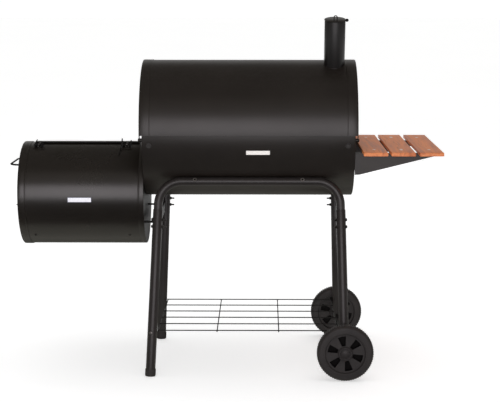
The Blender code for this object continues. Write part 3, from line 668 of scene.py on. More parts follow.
def chimney():
    joint = JOINTS["chimney_cap_swivel"]
    along = Vector(joint["axis"]).normalized()
    lug = Vector(joint["pos_m"])
    top = lug - CAP_LUG
    outer, inner = PIPE_R, PIPE_R - SHEET
    profile = [(inner, -0.26), (outer, -0.26), (outer, -0.0012), (outer - 0.0004, -0.0004),
               (inner + 0.0004, -0.0004), (inner, -0.0012)]
    tube = lathe("chimney_pipe_skin", top, along, profile, 72, CHIMNEY_BLACK)
    inside = swept("lid_form", [(LID_LOW.x - 0.05, 0.0), (LID_LOW.x - 0.05, LID_R + 0.0006),
                                (LID_HIGH.x + 0.05, LID_R + 0.0006), (LID_HIGH.x + 0.05, 0.0)],
                   BARREL_Z, 0, 360, 180, BLACK)
    cut_by(tube, inside)
    ear = lathe("ear", lug, along, rect(0.0029, 0.0064, -0.0039, -0.0006), 36, CHIMNEY_BLACK)
    cut_by(ear, lathe("pipe_bore", top, along, rect(0.0, outer - 0.0008, -0.03, 0.01), 72, BLACK))
    piece(joined("chimney_pipe_skin", tube, ear), "lid", "black_paint", "chimney_pipe")
    weld_ring(top, along, outer)
    pin = lathe("cap_pin", lug, along, [(0.0, 0.0044), (0.0026, 0.0042), (0.0035, 0.0036), (0.0035, 0.0031),
                                        (0.0021, 0.0031), (0.0021, -0.0046), (0.0037, -0.0046),
                                        (0.0037, -0.0060), (0.0, -0.0060)], 36, DARK_PAINT)
    piece(pin, "lid", "zinc", "chimney_cap_pin")
    chimney_cap(lug, top, along)


def weld_ring(top, along, outer):
    """A thin bead where the pipe meets the lid, on the curve where the two surfaces cross."""
    across = along.cross(X_AXIS).normalized()
    points = []
    for i in range(73):
        a = 2 * math.pi * i / 72
        start = top + (X_AXIS * math.cos(a) + across * math.sin(a)) * (outer + 0.0004)
        low, high = 0.0, 0.33
        for _ in range(40):
            middle = (low + high) / 2
            p = start - along * middle
            if math.hypot(p.y, p.z - BARREL_Z) > SKIN_R + 0.0006:
                low = middle
            else:
                high = middle
        points.append(start - along * low)
    bead = pipe("chimney_weld", points, 0.0011, BLACK, 10)
    piece(bead, "lid", "black_paint")


def chimney_cap(lug, top, along):
    radius = 0.0394
    disc = lathe("cap_disc", top, along, [(0.0, 0.0006), (radius - 0.001, 0.0006), (radius, 0.0010),
                                          (radius, 0.0018), (radius - 0.001, 0.0024), (0.0, 0.0024)], 72, BLACK)
    boss = lathe("boss", lug, along, rect(0.0027, 0.0064, 0.0008, 0.0022), 32, BLACK)
    forward = along.cross(X_AXIS).normalized()
    forward = -forward if forward.y > 0 else forward
    edge = top + forward * 0.032
    loop = [edge + along * 0.001 - X_AXIS * 0.0055, edge + along * 0.0238 - X_AXIS * 0.0055,
            edge + along * 0.0238 + X_AXIS * 0.0055, edge + along * 0.001 + X_AXIS * 0.0055]
    ring = pipe("loop", rounded(loop, 0.005, 8), 0.0016, DARK_PAINT, 14)
    piece(joined("chimney_cap_disc", disc, boss, ring), "chimney_cap", "black_paint", "chimney_cap")


# ---------------------------------------------------------------- firebox


def firebox():
    low, high, half = BOX_LOW.x, BOX_HIGH.x, SHEET / 2
    r = BOX_R - half
    # A pressed shoulder near the right end, and a turned-in edge.
    profile = [(low + 0.0008, r), (high - 0.0225, r), (high - 0.0205, r - 0.0008), (high - 0.0185, r),
               (high - 0.0028, r), (high - 0.0014, r - 0.0005), (high - 0.0008, r - 0.0018)]
    shell = swept("firebox_drum", profile, BOX_Z, 0, 360, 160, FIREBOX_BLACK, SHEET)
    near, far = DOOR_LOW.x + 0.014, DOOR_HIGH.x - 0.014
    outline = [(near, BOX_R - 0.02), (near, BOX_R + 0.02), (far, BOX_R + 0.02), (far, BOX_R - 0.02),
               (near, BOX_R - 0.02)]
    opening = swept("opening", outline, BOX_Z, 14, 92, 48, BLACK)
    with edited(opening) as bm:
        bmesh.ops.holes_fill(bm, edges=bm.edges)
        bmesh.ops.recalc_face_normals(bm, faces=bm.faces)
    cut_by(shell, opening)
    end = slab("firebox_end_wall", arc((0.0, BOX_Z), BOX_R - 0.0018, 0, 357.5, 143), high - SHEET,
               high - 0.0002, DARK_PAINT)
    cut_by(end, flue(high))
    piece(shell, "frame", "black_paint", "firebox")
    piece(end, "frame", "black_paint", "firebox_inner_end")
    for side in ("left", "right"):
        door_bracket(side)


def door_bracket(side):
    """A folded bracket on the drum: two ears with the pin between them, and a split ring round its end."""
    node = f"firebox_hinge_bracket_{side}"
    pivot = Vector(JOINTS["firebox_door_hinge"]["pos_m"])
    x = bracket_x(side)
    out = around(112, 1.0)
    foot = Vector((x, 0, BOX_Z)) + out * BOX_R
    base = block("base", (-0.0200, -0.0105, 0.0004), (0.0200, 0.0085, 0.0022), FIREBOX_BLACK, 0.0005)
    parts = [moved(base, foot, math.radians(22))]
    rises = (0.0225, 0.0165) if side == "right" else (0.0185, 0.0035)
    for dx, rise in zip((-BRACKET_EAR_X, BRACKET_EAR_X), rises):
        bottom = foot.z - 0.0005
        outline = [(pivot.y - 0.0098, bottom - 0.0002), (pivot.y + 0.0028, bottom + 0.0045)]
        outline += arc((pivot.y - 0.0020, pivot.z + rise - 0.0045), 0.0043, -10, 150, 12)
        outline += [(pivot.y - 0.0095, pivot.z - 0.004)]
        ear = slab("ear", outline, x + dx - 0.0019, x + dx + 0.0019, DARK_PAINT)
        if side == "left" and dx < 0:
            # The left bracket's tall ear leans in over its pin.
            for vertex in ear.data.vertices:
                vertex.co.x += 0.62 * max(vertex.co.z - pivot.z, 0.0)
        parts.append(ear)
    parts.append(lathe("pin", (x - 0.0194, pivot.y, pivot.z), X_AXIS,
                       rect(0.0, 0.0021, 0.0, 0.0388), 20, DARK_PAINT))
    for dx in (-0.0105, 0.0105):
        parts.append(split_ring((x + dx, pivot.y - 0.0036, pivot.z - 0.0010)))
    parts.append(dome_bolt("rivet", foot + out * 0.002 - Y_AXIS * 0.004, out, 0.003, 0.0016, DARK_STEEL,
                           False))
    if side == "right":
        parts.append(retaining_wire(x - BRACKET_EAR_X, pivot))
    piece(joined(f"door_bracket_{side}", *parts), "frame", "black_paint", node)


def bracket_x(side):
    """The middle of a hinge bracket, from the CAD box of the left one's or the right one's inner edge."""
    low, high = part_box(f"firebox_hinge_bracket_{side}")
    return (low.x + high.x) / 2 if side == "left" else high.x - BRACKET_HALF


def split_ring(at):
    """Two turns of wire round the pin."""
    points = []
    for i in range(41):
        a = 4 * math.pi * i / 40
        points.append(Vector(at) + Vector((0.0034 * (i / 20 - 1), 0.0064 * math.cos(a), 0.0064 * math.sin(a))))
    return pipe("split_ring", points, 0.0018, DARK_PAINT, 10)


def retaining_wire(x, pivot):
    """A stiff wire that hangs from the pin's end, down over the drum."""
    points = [(x - 0.001, pivot.y + 0.001, pivot.z), (x - 0.002, pivot.y - 0.016, pivot.z - 0.001),
              around(128, BOX_R + 0.004, BOX_Z) + X_AXIS * (x - 0.0075)]
    return pipe("retaining_wire", rounded(points, 0.006, 8), 0.0015, DARK_PAINT, 12)


def firebox_door():
    pivot = Vector(JOINTS["firebox_door_hinge"]["pos_m"])
    half = SHEET / 2
    r = DOOR_R - half
    low, high = DOOR_LOW.x, DOOR_HIGH.x
    profile = mirrored([(low + 0.0008, r - 0.0010), (low + 0.002, r), (low + 0.016, r),
                        (low + 0.018, r - 0.0007), (low + 0.020, r)], low + high)
    panel = swept("firebox_door_panel", profile, BOX_Z, *CLOSED_DOOR, 84, FIREBOX_BLACK, SHEET)
    hem_at = around(CLOSED_DOOR[1], DOOR_R + 0.0012, BOX_Z)
    hem = pipe("hem", [hem_at + X_AXIS * (low + 0.001), hem_at + X_AXIS * (high - 0.001)], 0.0029,
               DARK_PAINT, 20)
    parts = [panel, hem]
    for side in ("left", "right"):
        x = bracket_x(side)
        parts.append(lathe("eye", (x - 0.0034, pivot.y, pivot.z), X_AXIS,
                           rect(0.0026, 0.0051, 0.0, 0.0068), 28, FIREBOX_BLACK))
        reach = Vector((0, hem_at.y - pivot.y, hem_at.z - pivot.z))
        arm = block("arm", (-0.0033, 0.004, -0.0009), (0.0033, reach.length, 0.0009), FIREBOX_BLACK, 0.0004)
        parts.append(moved(arm, (x, pivot.y, pivot.z), math.atan2(reach.z, reach.y)))
    piece(joined("firebox_door_panel", *parts), "firebox_door", "black_paint", "firebox_door")
    door_grip()


def door_grip():
    """A bent-wire handle whose feet stand on round washers on the curved door."""
    low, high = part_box("firebox_door_handle")
    out = around(24, 1.0)
    foot = around(24, DOOR_R + 0.0004, BOX_Z)
    tip = foot + out * 0.0376
    ends = (low.x + 0.003, high.x - 0.003)
    points = staple(foot, tip, *ends)
    bar = pipe("firebox_door_grip", rounded(points, 0.012, 10), 0.0029, DARK_STEEL, 20)
    washers = [lathe("washer", foot + X_AXIS * x, out, rect(0.003, 0.0075, 0.0, 0.001), 28, ZINC)
               for x in ends]
    piece(joined("firebox_door_grip", bar, *washers), "firebox_door", "black_paint", "firebox_door_handle")


def end_cap():
    """The drum's left end: a pressed lid whose rim sleeves over the drum."""
    low, high = CAP_LOW.x, CAP_HIGH.x
    r = CAP_R
    profile = [(high, r - 0.0016), (high, r - 0.0002), (high - 0.001, r), (high - 0.004, r),
               (high - 0.0055, r - 0.0006), (high - 0.007, r), (low + 0.005, r), (low + 0.0025, r - 0.0007),
               (low + 0.0008, r - 0.0025), (low + 0.0002, r - 0.005), (low + 0.0002, r - 0.012),
               (low + 0.0012, r - 0.014), (low + 0.0012, 0.150), (low + 0.0003, 0.148), (low + 0.0003, 0.144),
               (low + 0.0012, 0.142), (low + 0.0012, 0.0)]
    inner = [(x + (0.0013 if i > 8 else 0.0), rr - (0.0 if i > 8 else 0.0015))
             for i, (x, rr) in enumerate(profile)]
    inner[0] = (high, r - 0.0017)
    inner[1] = (high - 0.0005, r - 0.0017)
    closed = profile + list(reversed(inner))
    cap = swept("end_cap_pressing", closed, BOX_Z, 0, 360, 160, FIREBOX_BLACK)
    piece(cap, "ash_drawer", "black_paint", "firebox_end_cap")
    low_h, high_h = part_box("end_cap_handle")
    z = (low_h.z + high_h.z) / 2
    reach = high_h.y - 0.0034
    x, tip = high_h.x, low_h.x + 0.0034
    points = [(x, -reach, z), (tip, -reach, z), (tip, reach, z), (x, reach, z)]
    bar = pipe("end_cap_grip", rounded(points, 0.035, 16), 0.0033, DARK_PAINT, 20)
    washers = [lathe("washer", (x - 0.0002, y, z), -X_AXIS, rect(0.003, 0.008, 0.0, 0.001), 28, ZINC)
               for y in (-reach, reach)]
    piece(joined("end_cap_grip", bar, *washers), "ash_drawer", "black_paint", "end_cap_handle")
    damper()


def damper():
    low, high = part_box("damper")
    pivot = Vector(JOINTS["damper_swivel"]["pos_m"])
    back = high.x
    hole_z = low.z + (high.y - low.y) / 2
    outline = arc((0.0, hole_z), (high.y - low.y) / 2 - 0.0004, 115, 425, 56)
    outline += arc((0.0, pivot.z), 0.0088, 0, 180, 16)
    plate = slab("damper_shutter", outline, back - 0.0014, back - 0.0002, FIREBOX_BLACK)
    cut_by(plate, pin_hole(back, Vector((0, 0, pivot.z)), 0.0025, 20))
    tab = block("tab", (low.x + 0.0005, -0.0088, hole_z - 0.0009), (back - 0.001, 0.0088, hole_z + 0.0009),
                FIREBOX_BLACK, 0.0007, 3)
    piece(joined("damper_shutter", plate, tab), "damper", "black_paint", "damper")
    rivet = dome_bolt("damper_pivot_rivet", (back - 0.0019, 0, pivot.z), -X_AXIS, 0.0051, 0.0020, ZINC, False)
    piece(rivet, "ash_drawer", "zinc", "damper_rivet")


# ---------------------------------------------------------------- frame, wheels and shelves


def leg_line(node):
    """A straight leg's two axis points, from its lowest ring to its highest, and the way between them."""
    co = [v.co for v in NODES[node].data.vertices]
    z_low, z_high = min(c.z for c in co), max(c.z for c in co)
    low = [c for c in co if c.z < z_low + 0.006]
    high = [c for c in co if c.z > z_high - 0.006]
    middle = [sum((c[i] for c in group), 0.0) / len(group) for group in (low, high) for i in range(3)]
    foot, top = Vector(middle[:3]), Vector(middle[3:])
    return foot, top, (top - foot).normalized()


def frame_tubes():
    for side in ("rear", "front"):
        node = f"frame_tube_{side}"
        low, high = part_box(node)
        run_z = high.z - TUBE_R
        corners, ends = [], []
        for hand in ("left", "right"):
            foot, _, way = leg_line(f"leg_{hand}_{side}")
            corners.append(foot + way * (run_z - foot.z) / way.z)
            ends.append(corners[-1] - way * (run_z - low.z - 0.002) / way.z)
        path = rounded([ends[0], *corners, ends[1]], BEND_R, 20)
        piece(pipe(f"frame_run_{side}", path, TUBE_R, FRAME_BLACK, 40), "frame", "frame_paint", node)
        for index in (1, 2):
            bolt_node = f"frame_bolt_{side}_{index}"
            at = centre_of(bolt_node)
            tube_at = Vector((at.x, corners[0].y, run_z))
            out = (at - tube_at).normalized()
            bolt = run_bolt(f"run_bolt_{side}_{index}", tube_at + out * TUBE_R, out)
            piece(bolt, "frame", "zinc", bolt_node)
    for node in ("leg_left_rear", "leg_left_front", "leg_right_rear", "leg_right_front"):
        lower_leg(node)


def run_bolt(name, seat, out):
    """A round head on a washer, with a hexagon socket whose floor is painted near-black as shade."""
    washer = lathe(name, seat, out, [(0.0030, 0.0002), (0.0074, 0.0002), (0.0077, 0.0005), (0.0074, 0.0010),
                                     (0.0030, 0.0010)], 40, BOLT_STEEL)
    head = lathe("head", seat, out, [(0.0030, 0.0009), (0.0062, 0.0009), (0.0062, 0.0024), (0.0056, 0.0030),
                                     (0.0034, 0.0031), (0.0032, 0.0029), (0.0030, 0.0011)], 40, BOLT_STEEL)
    socket = lathe("socket", seat, out, rect(0.0, 0.0031, 0.0010, 0.0016), 6, SOCKET_PAINTED_SHADE)
    return joined(name, washer, head, socket)


def lower_leg(node):
    """A swaged tube over the frame tube's end, with a rolled mouth, two splice bolts and the shelf's bolt."""
    foot, top, way = leg_line(node)
    side = -1 if node.endswith("rear") else 1
    inward = 1 if "left" in node else -1
    end = (top - foot).length - 0.0005
    profile = [(0.0161, 0.0), (LEG_R, 0.0), (LEG_R, end - 0.0015), (LEG_R - 0.0006, end),
               (0.0162, end), (0.0162, 0.02)]
    parts = [lathe("tube", foot, way, profile, 48, FRAME_BLACK)]
    for z in SPLICE_Z[side]:
        at = foot + way * ((z - foot.z) / way.z)
        out = squared(X_AXIS * -inward, way)
        parts.append(hex_bolt("head", at + out * LEG_R * 0.995, out, 0.0095, 0.0042, DARK_STEEL))
        inner = at - out * LEG_R * 0.995
        parts.append(lathe("nut", inner, -out, rect(0.0, 0.0058, 0.0, 0.005), 6, DARK_STEEL))
        parts.append(lathe("thread", inner, -out, [(0.0, 0.004), (0.0029, 0.004), (0.0029, 0.0150),
                                                   (0.0022, 0.016), (0.0, 0.016)], 20, DARK_STEEL))
    at = foot + way * ((SHELF_BOLT_Z - foot.z) / way.z)
    out = squared(Vector((0.25 * -inward, side, 0.0)), way)
    if "left" in node:
        parts.append(dome_bolt("shelf_bolt", at + out * LEG_R * 0.99, out, 0.0060, 0.0032, BOLT_STEEL))
    piece(joined(f"{node}_tube", *parts), "frame", "frame_paint", node)


def feet():
    """Moulded caps on the left legs, with a rounded lower edge, a lip and grip ribs."""
    for side in ("rear", "front"):
        foot, _, way = leg_line(f"leg_left_{side}")
        base = foot - way * (foot.z / way.z)
        r = 0.0194
        profile = [(0.0, 0.0022), (r - 0.003, 0.0022), (r - 0.001, 0.0032), (r, 0.006), (r, 0.024),
                   (r - 0.0004, 0.0268), (r - 0.0016, 0.0280), (0.0179, 0.0284), (0.0179, 0.006), (0.0, 0.006)]

        def ribs(step, radius, height):
            return radius - (0.0005 if step % 4 < 2 and 0.006 <= height <= 0.024 and radius > 0.018 else 0.0)

        cap = lathe(f"foot_cap_{side}", base, way, profile, 96, PLASTIC, ribs)
        flatten_base(cap)
        piece(cap, "frame", "black_plastic", f"foot_{side}", angle=40)


def flatten_base(obj):
    """The slanted cap's bottom rests flat on the floor."""
    for vertex in obj.data.vertices:
        if vertex.co.z < 0.0046:
            vertex.co.z = max(0.0, vertex.co.z - 0.0023)


def braces():
    for side in ("left", "right"):
        node = f"leg_brace_{side}"
        low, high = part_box(node)
        middle = centre_of(node)
        half_y, half_z = (high.y - low.y) / 2, 0.0198
        # A flat strip: the brace's web.
        inward = 1 if side == "left" else -1
        outline = [(0.0, -half_z), (0.0, half_z), (0.0013, half_z), (0.0013, -half_z)]
        web = slab("web", [(x * inward - 0.0006, z) for x, z in outline], -half_y, half_y, DARK_PAINT, "Y")
        softened(web, 0.0004, 1)
        moved(web, middle, math.atan(LEG_LEAN[side]), "Y")
        bolts = []
        for y in (-half_y + 0.018, half_y - 0.018):
            seat = Vector((middle.x - inward * 0.0007, y, middle.z))
            bolts.append(dome_bolt("b", seat, -X_AXIS * inward, 0.005, 0.0012, DARK_STEEL))
        piece(joined(f"{node}_bar", web, *bolts), "frame", "frame_paint", node)
    struts()


def struts():
    """The lower strut is a rod with a nut at each end; the upper one is bent down along the brace."""
    low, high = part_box("firebox_strut_lower")
    middle, r = centre_of("firebox_strut_lower"), (high.z - low.z) / 2
    parts = [pipe("rod", [(low.x, middle.y, middle.z), (high.x, middle.y, middle.z)], r * 0.86, DARK_PAINT)]
    for x in (low.x + 0.0001, high.x - 0.0061):
        parts.append(lathe("nut", (x, middle.y, middle.z), X_AXIS, rect(0.0, r, 0.0, 0.006), 6, DARK_PAINT))
    piece(joined("firebox_strut_lower_rod", *parts), "frame", "frame_paint", "firebox_strut_lower")
    low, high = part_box("firebox_strut_upper")
    r = (high.y - low.y) / 2
    y, z, x_down = (low.y + high.y) / 2, high.z - r, high.x - r
    path = rounded([(low.x, y, z), (x_down, y, z), (x_down, y, low.z)], 0.008, 8)
    piece(pipe("firebox_strut_upper_rod", path, r * 0.98, DARK_PAINT, 20), "frame", "frame_paint",
          "firebox_strut_upper")


def wheel(side):
    node = f"wheel_{side}"
    low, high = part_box(node)
    middle = centre_of(node)
    sign = -1 if side == "rear" else 1
    radius, half = (high.x - low.x) / 2 - 0.0002, (high.y - low.y) / 2
    shoulder = radius - 0.0085
    corner = [(radius - 0.0040, 0.0046), (radius - 0.0012, 0.0085), (radius, 0.0120)]
    outer = [(0.0068, 0.0060), (0.0240, 0.0060), (0.0250, 0.0072), (0.0262, 0.0095), (0.0295, 0.0100),
             (0.0690, 0.0080), (0.0712, 0.0060), (0.0724, 0.0012), (0.0740, 0.0003), (0.0775, 0.0003),
             (0.0785, 0.0012), (0.0792, 0.0014), (0.0880, 0.0004), (shoulder, 0.0016), *corner]
    inner = [*reversed(corner), (shoulder, 0.0016), (0.0880, 0.0004), (0.0775, 0.0004), (0.0740, 0.0006),
             (0.0715, 0.0100), (0.0290, 0.0110), (0.0240, 0.0055), (0.0068, 0.0055)]
    profile = [(r, half - depth) for r, depth in outer] + [(r, depth - half) for r, depth in inner]

    def tread(step, r, height):
        """Fine blocks round the tread, and shallower ones on its shoulders."""
        if r < radius - 0.0045:
            return r
        depth = 0.0021 if abs(height) < half - 0.010 else 0.0016
        return r - (depth if step % 4 < 2 else 0.0)

    body = lathe("body", middle, Y_AXIS * sign, profile, 288, TYRE, tread)
    for i in range(WINDOWS):
        angle = math.radians(FIRST_WINDOW + 360 / WINDOWS * i)
        cut_by(body, window(middle, sign, half, angle, -0.004), window(middle, -sign, half, angle, 0.007))
    ring = lathe("hub_ring", middle, Y_AXIS * sign,
                 [(0.0175, half - 0.0075), (0.0240, half - 0.0075), (0.0240, half - 0.0030),
                  (0.0228, half - 0.0018), (0.0190, half - 0.0018), (0.0175, half - 0.0032)], 72, HUB)
    piece(joined(f"{node}_moulding", body, ring), node, "black_plastic", node, angle=28)
    cap_node = f"hub_cap_{side}"
    cap = lathe(f"hub_cap_{side}_dome", (middle.x, 0, middle.z), Y_AXIS * sign,
                hub_profile(abs(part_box(cap_node)[0 if sign > 0 else 1].y)), 64, HUB)
    piece(cap, node, "black_plastic", cap_node)


def hub_profile(face):
    rise = 0.0048
    profile = [(0.0, face), (0.0158, face), (0.0158, face + 0.0014), (0.0150, face + 0.0024),
               (0.0118, face + 0.0026), (0.0110, face + 0.0032)]
    for i in range(1, 5):
        a = math.pi / 2 * i / 5
        profile.append((0.0110 * math.cos(a), face + 0.0032 + (rise - 0.0034) * math.sin(a)))
    return profile + [(0.0, face + rise)]


def window(middle, sign, half, angle, floor):
    """A wedge-shaped recess between two spokes, from one face of the wheel down to a thin web; its walls and
    floor wear a far darker plastic as painted shade.
    """
    inner, outer = 0.0275, 0.0640
    narrow, wide = 0.0072, 0.0150
    outline = [(inner, -narrow), (outer - 0.001, -wide), (outer + 0.0006, 0.0), (outer - 0.001, wide),
               (inner, narrow), (inner - 0.0006, 0.0)]
    centre = (inner + outer) / 2
    bm = bridged([[(centre + (u - centre) * shrink, v * shrink, depth) for u, v in outline]
                  for depth, shrink in ((half + 0.01, 1.0), (floor, 0.95))])
    radial = Vector((math.cos(angle), 0, math.sin(angle)))
    across = Vector((-math.sin(angle), 0, math.cos(angle)))
    basis = Matrix((radial, across, Y_AXIS * sign)).transposed().to_4x4()
    bm.transform(Matrix.Translation(middle) @ basis)
    return softened(from_bmesh("window", bm, RECESS_PAINTED_SHADE), 0.0014, 2)


def wheels():
    for side in ("rear", "front"):
        wheel(side)
        node = f"wheel_spacer_{side}"
        low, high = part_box(node)
        r = (high.x - low.x) / 2
        spacer = lathe(f"{node}_bush", (centre_of(node).x, low.y, centre_of(node).z), Y_AXIS,
                       mirrored([(0.0064, 0.0), (r - 0.0008, 0.0), (r, 0.0008), (r, 0.004),
                                 (r - 0.0015, 0.0055)], high.y - low.y, 1), 48, PLASTIC)
        piece(spacer, "frame", "black_plastic", node)
    low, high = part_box("axle")
    r = (high.x - low.x) / 2
    rod = lathe("axle_rod", (centre_of("axle").x, low.y, centre_of("axle").z), Y_AXIS,
                mirrored([(0.0, 0.0), (r - 0.001, 0.0), (r, 0.001)], high.y - low.y, 1), 40, DARK_STEEL)
    piece(rod, "frame", "zinc", "axle")


def wire_shelf():
    low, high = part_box("wire_shelf")
    z = high.z - WIRE_R
    step = (high.y - low.y - 2 * 0.006) / 5
    parts = []
    for i in range(6):
        y = low.y + 0.006 + i * step
        ends = [(low.x + 0.0005, y, z), (high.x - 0.0015, y, z)]
        parts.append(pipe("long_wire", ends, WIRE_R, DARK_PAINT, 14))
    for x in (low.x + 0.003, -0.0172, 0.2067, high.x - 0.004):
        ends = [(x, low.y, z - 0.0031), (x, high.y, z - 0.0031)]
        parts.append(pipe("cross_wire", ends, WIRE_R, DARK_PAINT, 14))
        for i in range(6):
            parts.append(weld_spot((x, low.y + 0.006 + i * step, z - 0.0016)))
    piece(joined("shelf_wires", *parts), "frame", "frame_paint", "wire_shelf")


def weld_spot(at):
    """A small flattened bead where two wires are welded."""
    bm = bmesh.new()
    bmesh.ops.create_icosphere(bm, subdivisions=2, radius=1.0)
    for vertex in bm.verts:
        vertex.co = Vector((vertex.co.x * 0.0026, vertex.co.y * 0.0026, vertex.co.z * 0.0018)) + Vector(at)
    return from_bmesh("weld", bm, DARK_PAINT)


def side_shelf():
    for index in (1, 2, 3):
        node = f"shelf_slat_{index}"
        low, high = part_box(node)
        face = high - Z_AXIS * 0.0013
        slat = block(f"slat_{index}", low, face, WOOD[index - 1])
        with edited(slat) as bm:
            long_edges = [e for e in bm.edges if abs(e.verts[0].co.y - e.verts[1].co.y) > 0.1]
            bmesh.ops.subdivide_edges(bm, edges=long_edges, cuts=6, use_grid_fill=True)
        softened(slat, 0.0026, 4)
        screws = []
        for y in (-0.221, -0.199, 0.199, 0.221) if index == 2 else (-0.210, 0.210):
            seat = Vector(((low.x + high.x) / 2, y, face.z))
            screws.append(dome_bolt("screw", seat - Z_AXIS * 0.0003, Z_AXIS, 0.0062, 0.0015, SCREW))
        piece(joined(f"slat_{index}", slat, *screws), "frame", "stained_wood", node)
    for side in ("rear", "front"):
        bracket(side)


def bracket(side):
    """A folded sheet bracket with a long taper, a flange under the slats and one on the barrel's end."""
    node = f"shelf_bracket_{side}"
    low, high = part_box(node)
    y = low.y + 0.001
    top, wall, tip = high.z, low.x, high.x
    outline = [(wall, top - 0.0785), (wall + 0.018, top - 0.0775), (tip - 0.006, top - 0.0085),
               (tip - 0.001, top - 0.0055), (tip, top - 0.0005), (wall, top - 0.0005)]
    web = slab(f"{node}_sheet", outline, y - 0.0008, y + 0.0008, BLACK, "Y")
    softened(web, 0.0003, 1)
    parts = [web,
             block("flange", (wall, y - 0.0005, top - 0.0020), (tip - 0.0006, high.y - 0.0003, top - 0.0004),
                   BLACK, 0.0005),
             block("wall", (wall + 0.0001, y - 0.0005, 0.7455), (wall + 0.0018, high.y - 0.0003, top - 0.001),
                   BLACK, 0.0005)]
    for z in (0.762, 0.792):
        parts.append(dome_bolt("bolt", (wall + 0.0018, y + 0.011, z), X_AXIS, 0.0055, 0.0034, DARK_STEEL))
    piece(joined(f"{node}_sheet", *parts), "frame", "black_paint", node)


# ---------------------------------------------------------------- small fittings


def plates():
    """Two blank plates, each with a plain raised border."""
    low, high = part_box("name_plate_blank")
    middle = (low + high) / 2
    bordered_plate("name_plate", middle, math.radians(15), (high.x - low.x) / 2, 0.00875, 0.0005, PLATE,
                   PLATE_EDGE, "name_plate_blank", "zinc")
    low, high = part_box("firebox_label_blank")
    bordered_plate("firebox_label", (low + high) / 2, 0.0, (high.x - low.x) / 2, (high.z - low.z) / 2, 0.00028,
                   LABEL, LABEL_EDGE, "firebox_label_blank", "label")


def bordered_plate(name, middle, tilt_angle, half_x, half_z, half_y, face, edge, node, slot):
    plate = block(name, (-half_x, -half_y, -half_z), (half_x, half_y * 0.6, half_z), edge, half_y * 0.4)
    inset = block("inset", (-half_x + 0.0012, -half_y * 1.02, -half_z + 0.0012),
                  (half_x - 0.0012, -half_y * 0.2, half_z - 0.0012), face, half_y * 0.1, 1)
    piece(moved(joined(name, plate, inset), middle, tilt_angle), "frame", slot, node)


def body_bolts():
    for side in ("left", "right"):
        node = f"barrel_bolt_{side}"
        seat, out = on_drum(node, BARREL_Z, BODY_R)
        bolt = hex_bolt(f"barrel_hex_{side}", seat, out, 0.0140, 0.0036, BOLT_PAINT)
        piece(bolt, "frame", "black_paint", node)
        node = f"firebox_bolt_{side}"
        seat, out = on_drum(node, BOX_Z, BOX_R)
        screw = dome_bolt(f"firebox_screw_{side}", seat, out, 0.0048, 0.0036, DARK_STEEL)
        piece(screw, "frame", "black_paint", node)


def on_drum(node, centre_z, radius):
    """Where a bolt's CAD node stands on a drum, and the way out from it."""
    at = centre_of(node)
    out = Vector((0, at.y, at.z - centre_z)).normalized()
    return Vector((at.x, 0, centre_z)) + out * (radius - 0.0002), out


def inner_parts():
    """The grates, pans and ledges keep their CAD shapes, with their own finishes."""
    grates = ("cooking_grate_left", "cooking_grate_right", "fire_grate")
    for node in grates + ("charcoal_pan", "ash_pan", "grate_ledge_rear", "grate_ledge_front"):
        NODES[node].data.materials.clear()
        NODES[node].data.materials.append(IRON if node in grates else INSIDE_BLACK)
        if node not in grates:
            shaded(NODES[node])


# ---------------------------------------------------------------- floor, light and camera


def studio_paint(name, scale, dark, light, strength, colour=WHITE, **fixed):
    n = Nodes(name)
    tone = n.ramp(n.noise(scale, 2.0), [(0.3, dark), (0.7, light)])
    material = n.finish(tone, None, None, Roughness=0.9, **fixed)
    glow(material, colour, strength)
    return material


def stage(obj, *unseen):
    """For a studio object, not part of the grill: turns off the kinds of ray named in unseen, which then pass
    it by; with none named it changes nothing.
    """
    for ray in unseen:
        setattr(obj, f"visible_{ray}", False)


def studio_floor():
    bm = bmesh.new()
    bmesh.ops.create_grid(bm, x_segments=1, y_segments=1, size=260.0)
    paint = studio_paint("studio_floor", 0.4, (0.830, 0.842, 0.852), (0.850, 0.862, 0.872), 0.52,
                         Specular_IOR_Level=0.1)
    stage(from_bmesh("studio_floor", bm, paint, fix_normals=False))


def backdrop():
    """A far white wall that only the camera sees, so that low views have no dark horizon."""
    bm = bmesh.new()
    bmesh.ops.create_cone(bm, segments=96, radius1=60.0, radius2=60.0, depth=80.0)
    paint = studio_paint("backdrop", 0.2, (0.020, 0.020, 0.020), (0.024, 0.024, 0.024), 1.0)
    stage(from_bmesh("backdrop", bm, paint, fix_normals=False), "diffuse", "glossy", "shadow")


def floor_card(name, near, far, strength):
    """A card on the floor that only reflections see, so the drums' undersides mirror a darker studio."""
    paint = studio_paint(name, 1.2, (0.030, 0.030, 0.030), (0.0345, 0.0345, 0.0345), strength,
                         (1.0, 0.99, 0.87))
    stage(block(name, (-4.0, near, 0.0005), (4.0, far, 0.0015), paint), "camera", "shadow", "diffuse")


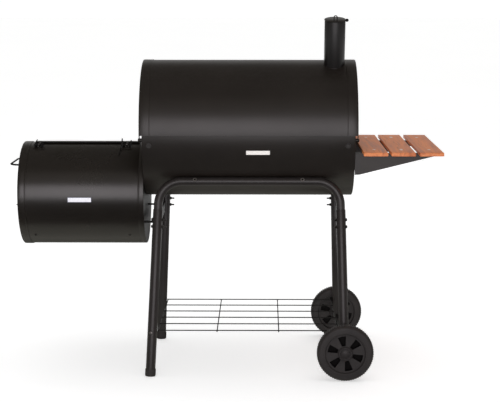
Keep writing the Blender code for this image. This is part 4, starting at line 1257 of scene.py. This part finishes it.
def area_light(name, at, aim, size, power, colour=WHITE):
    data = bpy.data.lights.new(name, "AREA")
    data.shape = "RECTANGLE"
    data.size, data.size_y = size
    data.energy = power
    data.color = colour
    light = added(name, data)
    light.location = at
    light.rotation_euler = (Vector(aim) - Vector(at)).to_track_quat("-Z", "Y").to_euler()
    light.visible_camera = False


def lights():
    sun = bpy.data.lights.new("overhead", "SUN")
    sun.energy = 1.45
    sun.angle = math.radians(80)
    overhead = added("overhead", sun)
    overhead.rotation_euler = (math.radians(-6), math.radians(4), 0)
    overhead.visible_glossy = False
    area_light("front_softbox", (0.1, -6.4, 1.72), (0.0, 0.0, 0.8), (5.4, 2.95), 128.0, (1.0, 0.94, 0.975))
    area_light("upper_softbox", (0.1, -4.6, 4.6), (0.0, 0.0, 0.8), (5.0, 2.6), 9.0, (1.0, 0.93, 0.86))
    area_light("rear_panel", (0.0, 5.5, 2.4), (0.0, 0.0, 1.0), (9.0, 4.2), 42.0)
    world = bpy.data.worlds.new("studio")
    world.use_nodes = True
    background = world.node_tree.nodes["Background"]
    background.inputs["Color"].default_value = (0.52, 0.49, 0.45, 1.0)
    background.inputs["Strength"].default_value = 0.24
    SCENE.world = world
    SCENE.view_settings.view_transform = "Standard"
    SCENE.view_settings.look = "None"


def camera():
    data = bpy.data.cameras.new("camera")
    data.lens = 101.6
    data.sensor_width = 36.0
    data.clip_end = 600.0
    obj = added("camera", data)
    obj.location = (0.1545, -5.255, 1.3996)
    yaw, pitch = -0.0104, 0.1507
    forward = Vector((math.sin(yaw) * math.cos(pitch), math.cos(yaw) * math.cos(pitch), -math.sin(pitch)))
    obj.rotation_euler = forward.to_track_quat("-Z", "Y").to_euler()
    SCENE.camera = obj


barrel_body()
lid()
chimney()
firebox()
firebox_door()
end_cap()
frame_tubes()
feet()
braces()
wheels()
wire_shelf()
side_shelf()
plates()
body_bolts()
inner_parts()
studio_floor()
backdrop()
floor_card("dark_card", -5.0, -0.36, 0.0)
floor_card("grey_card", -0.36, 0.25, 0.36)
floor_card("far_card", 0.25, 2.5, 0.15)
lights()
camera()
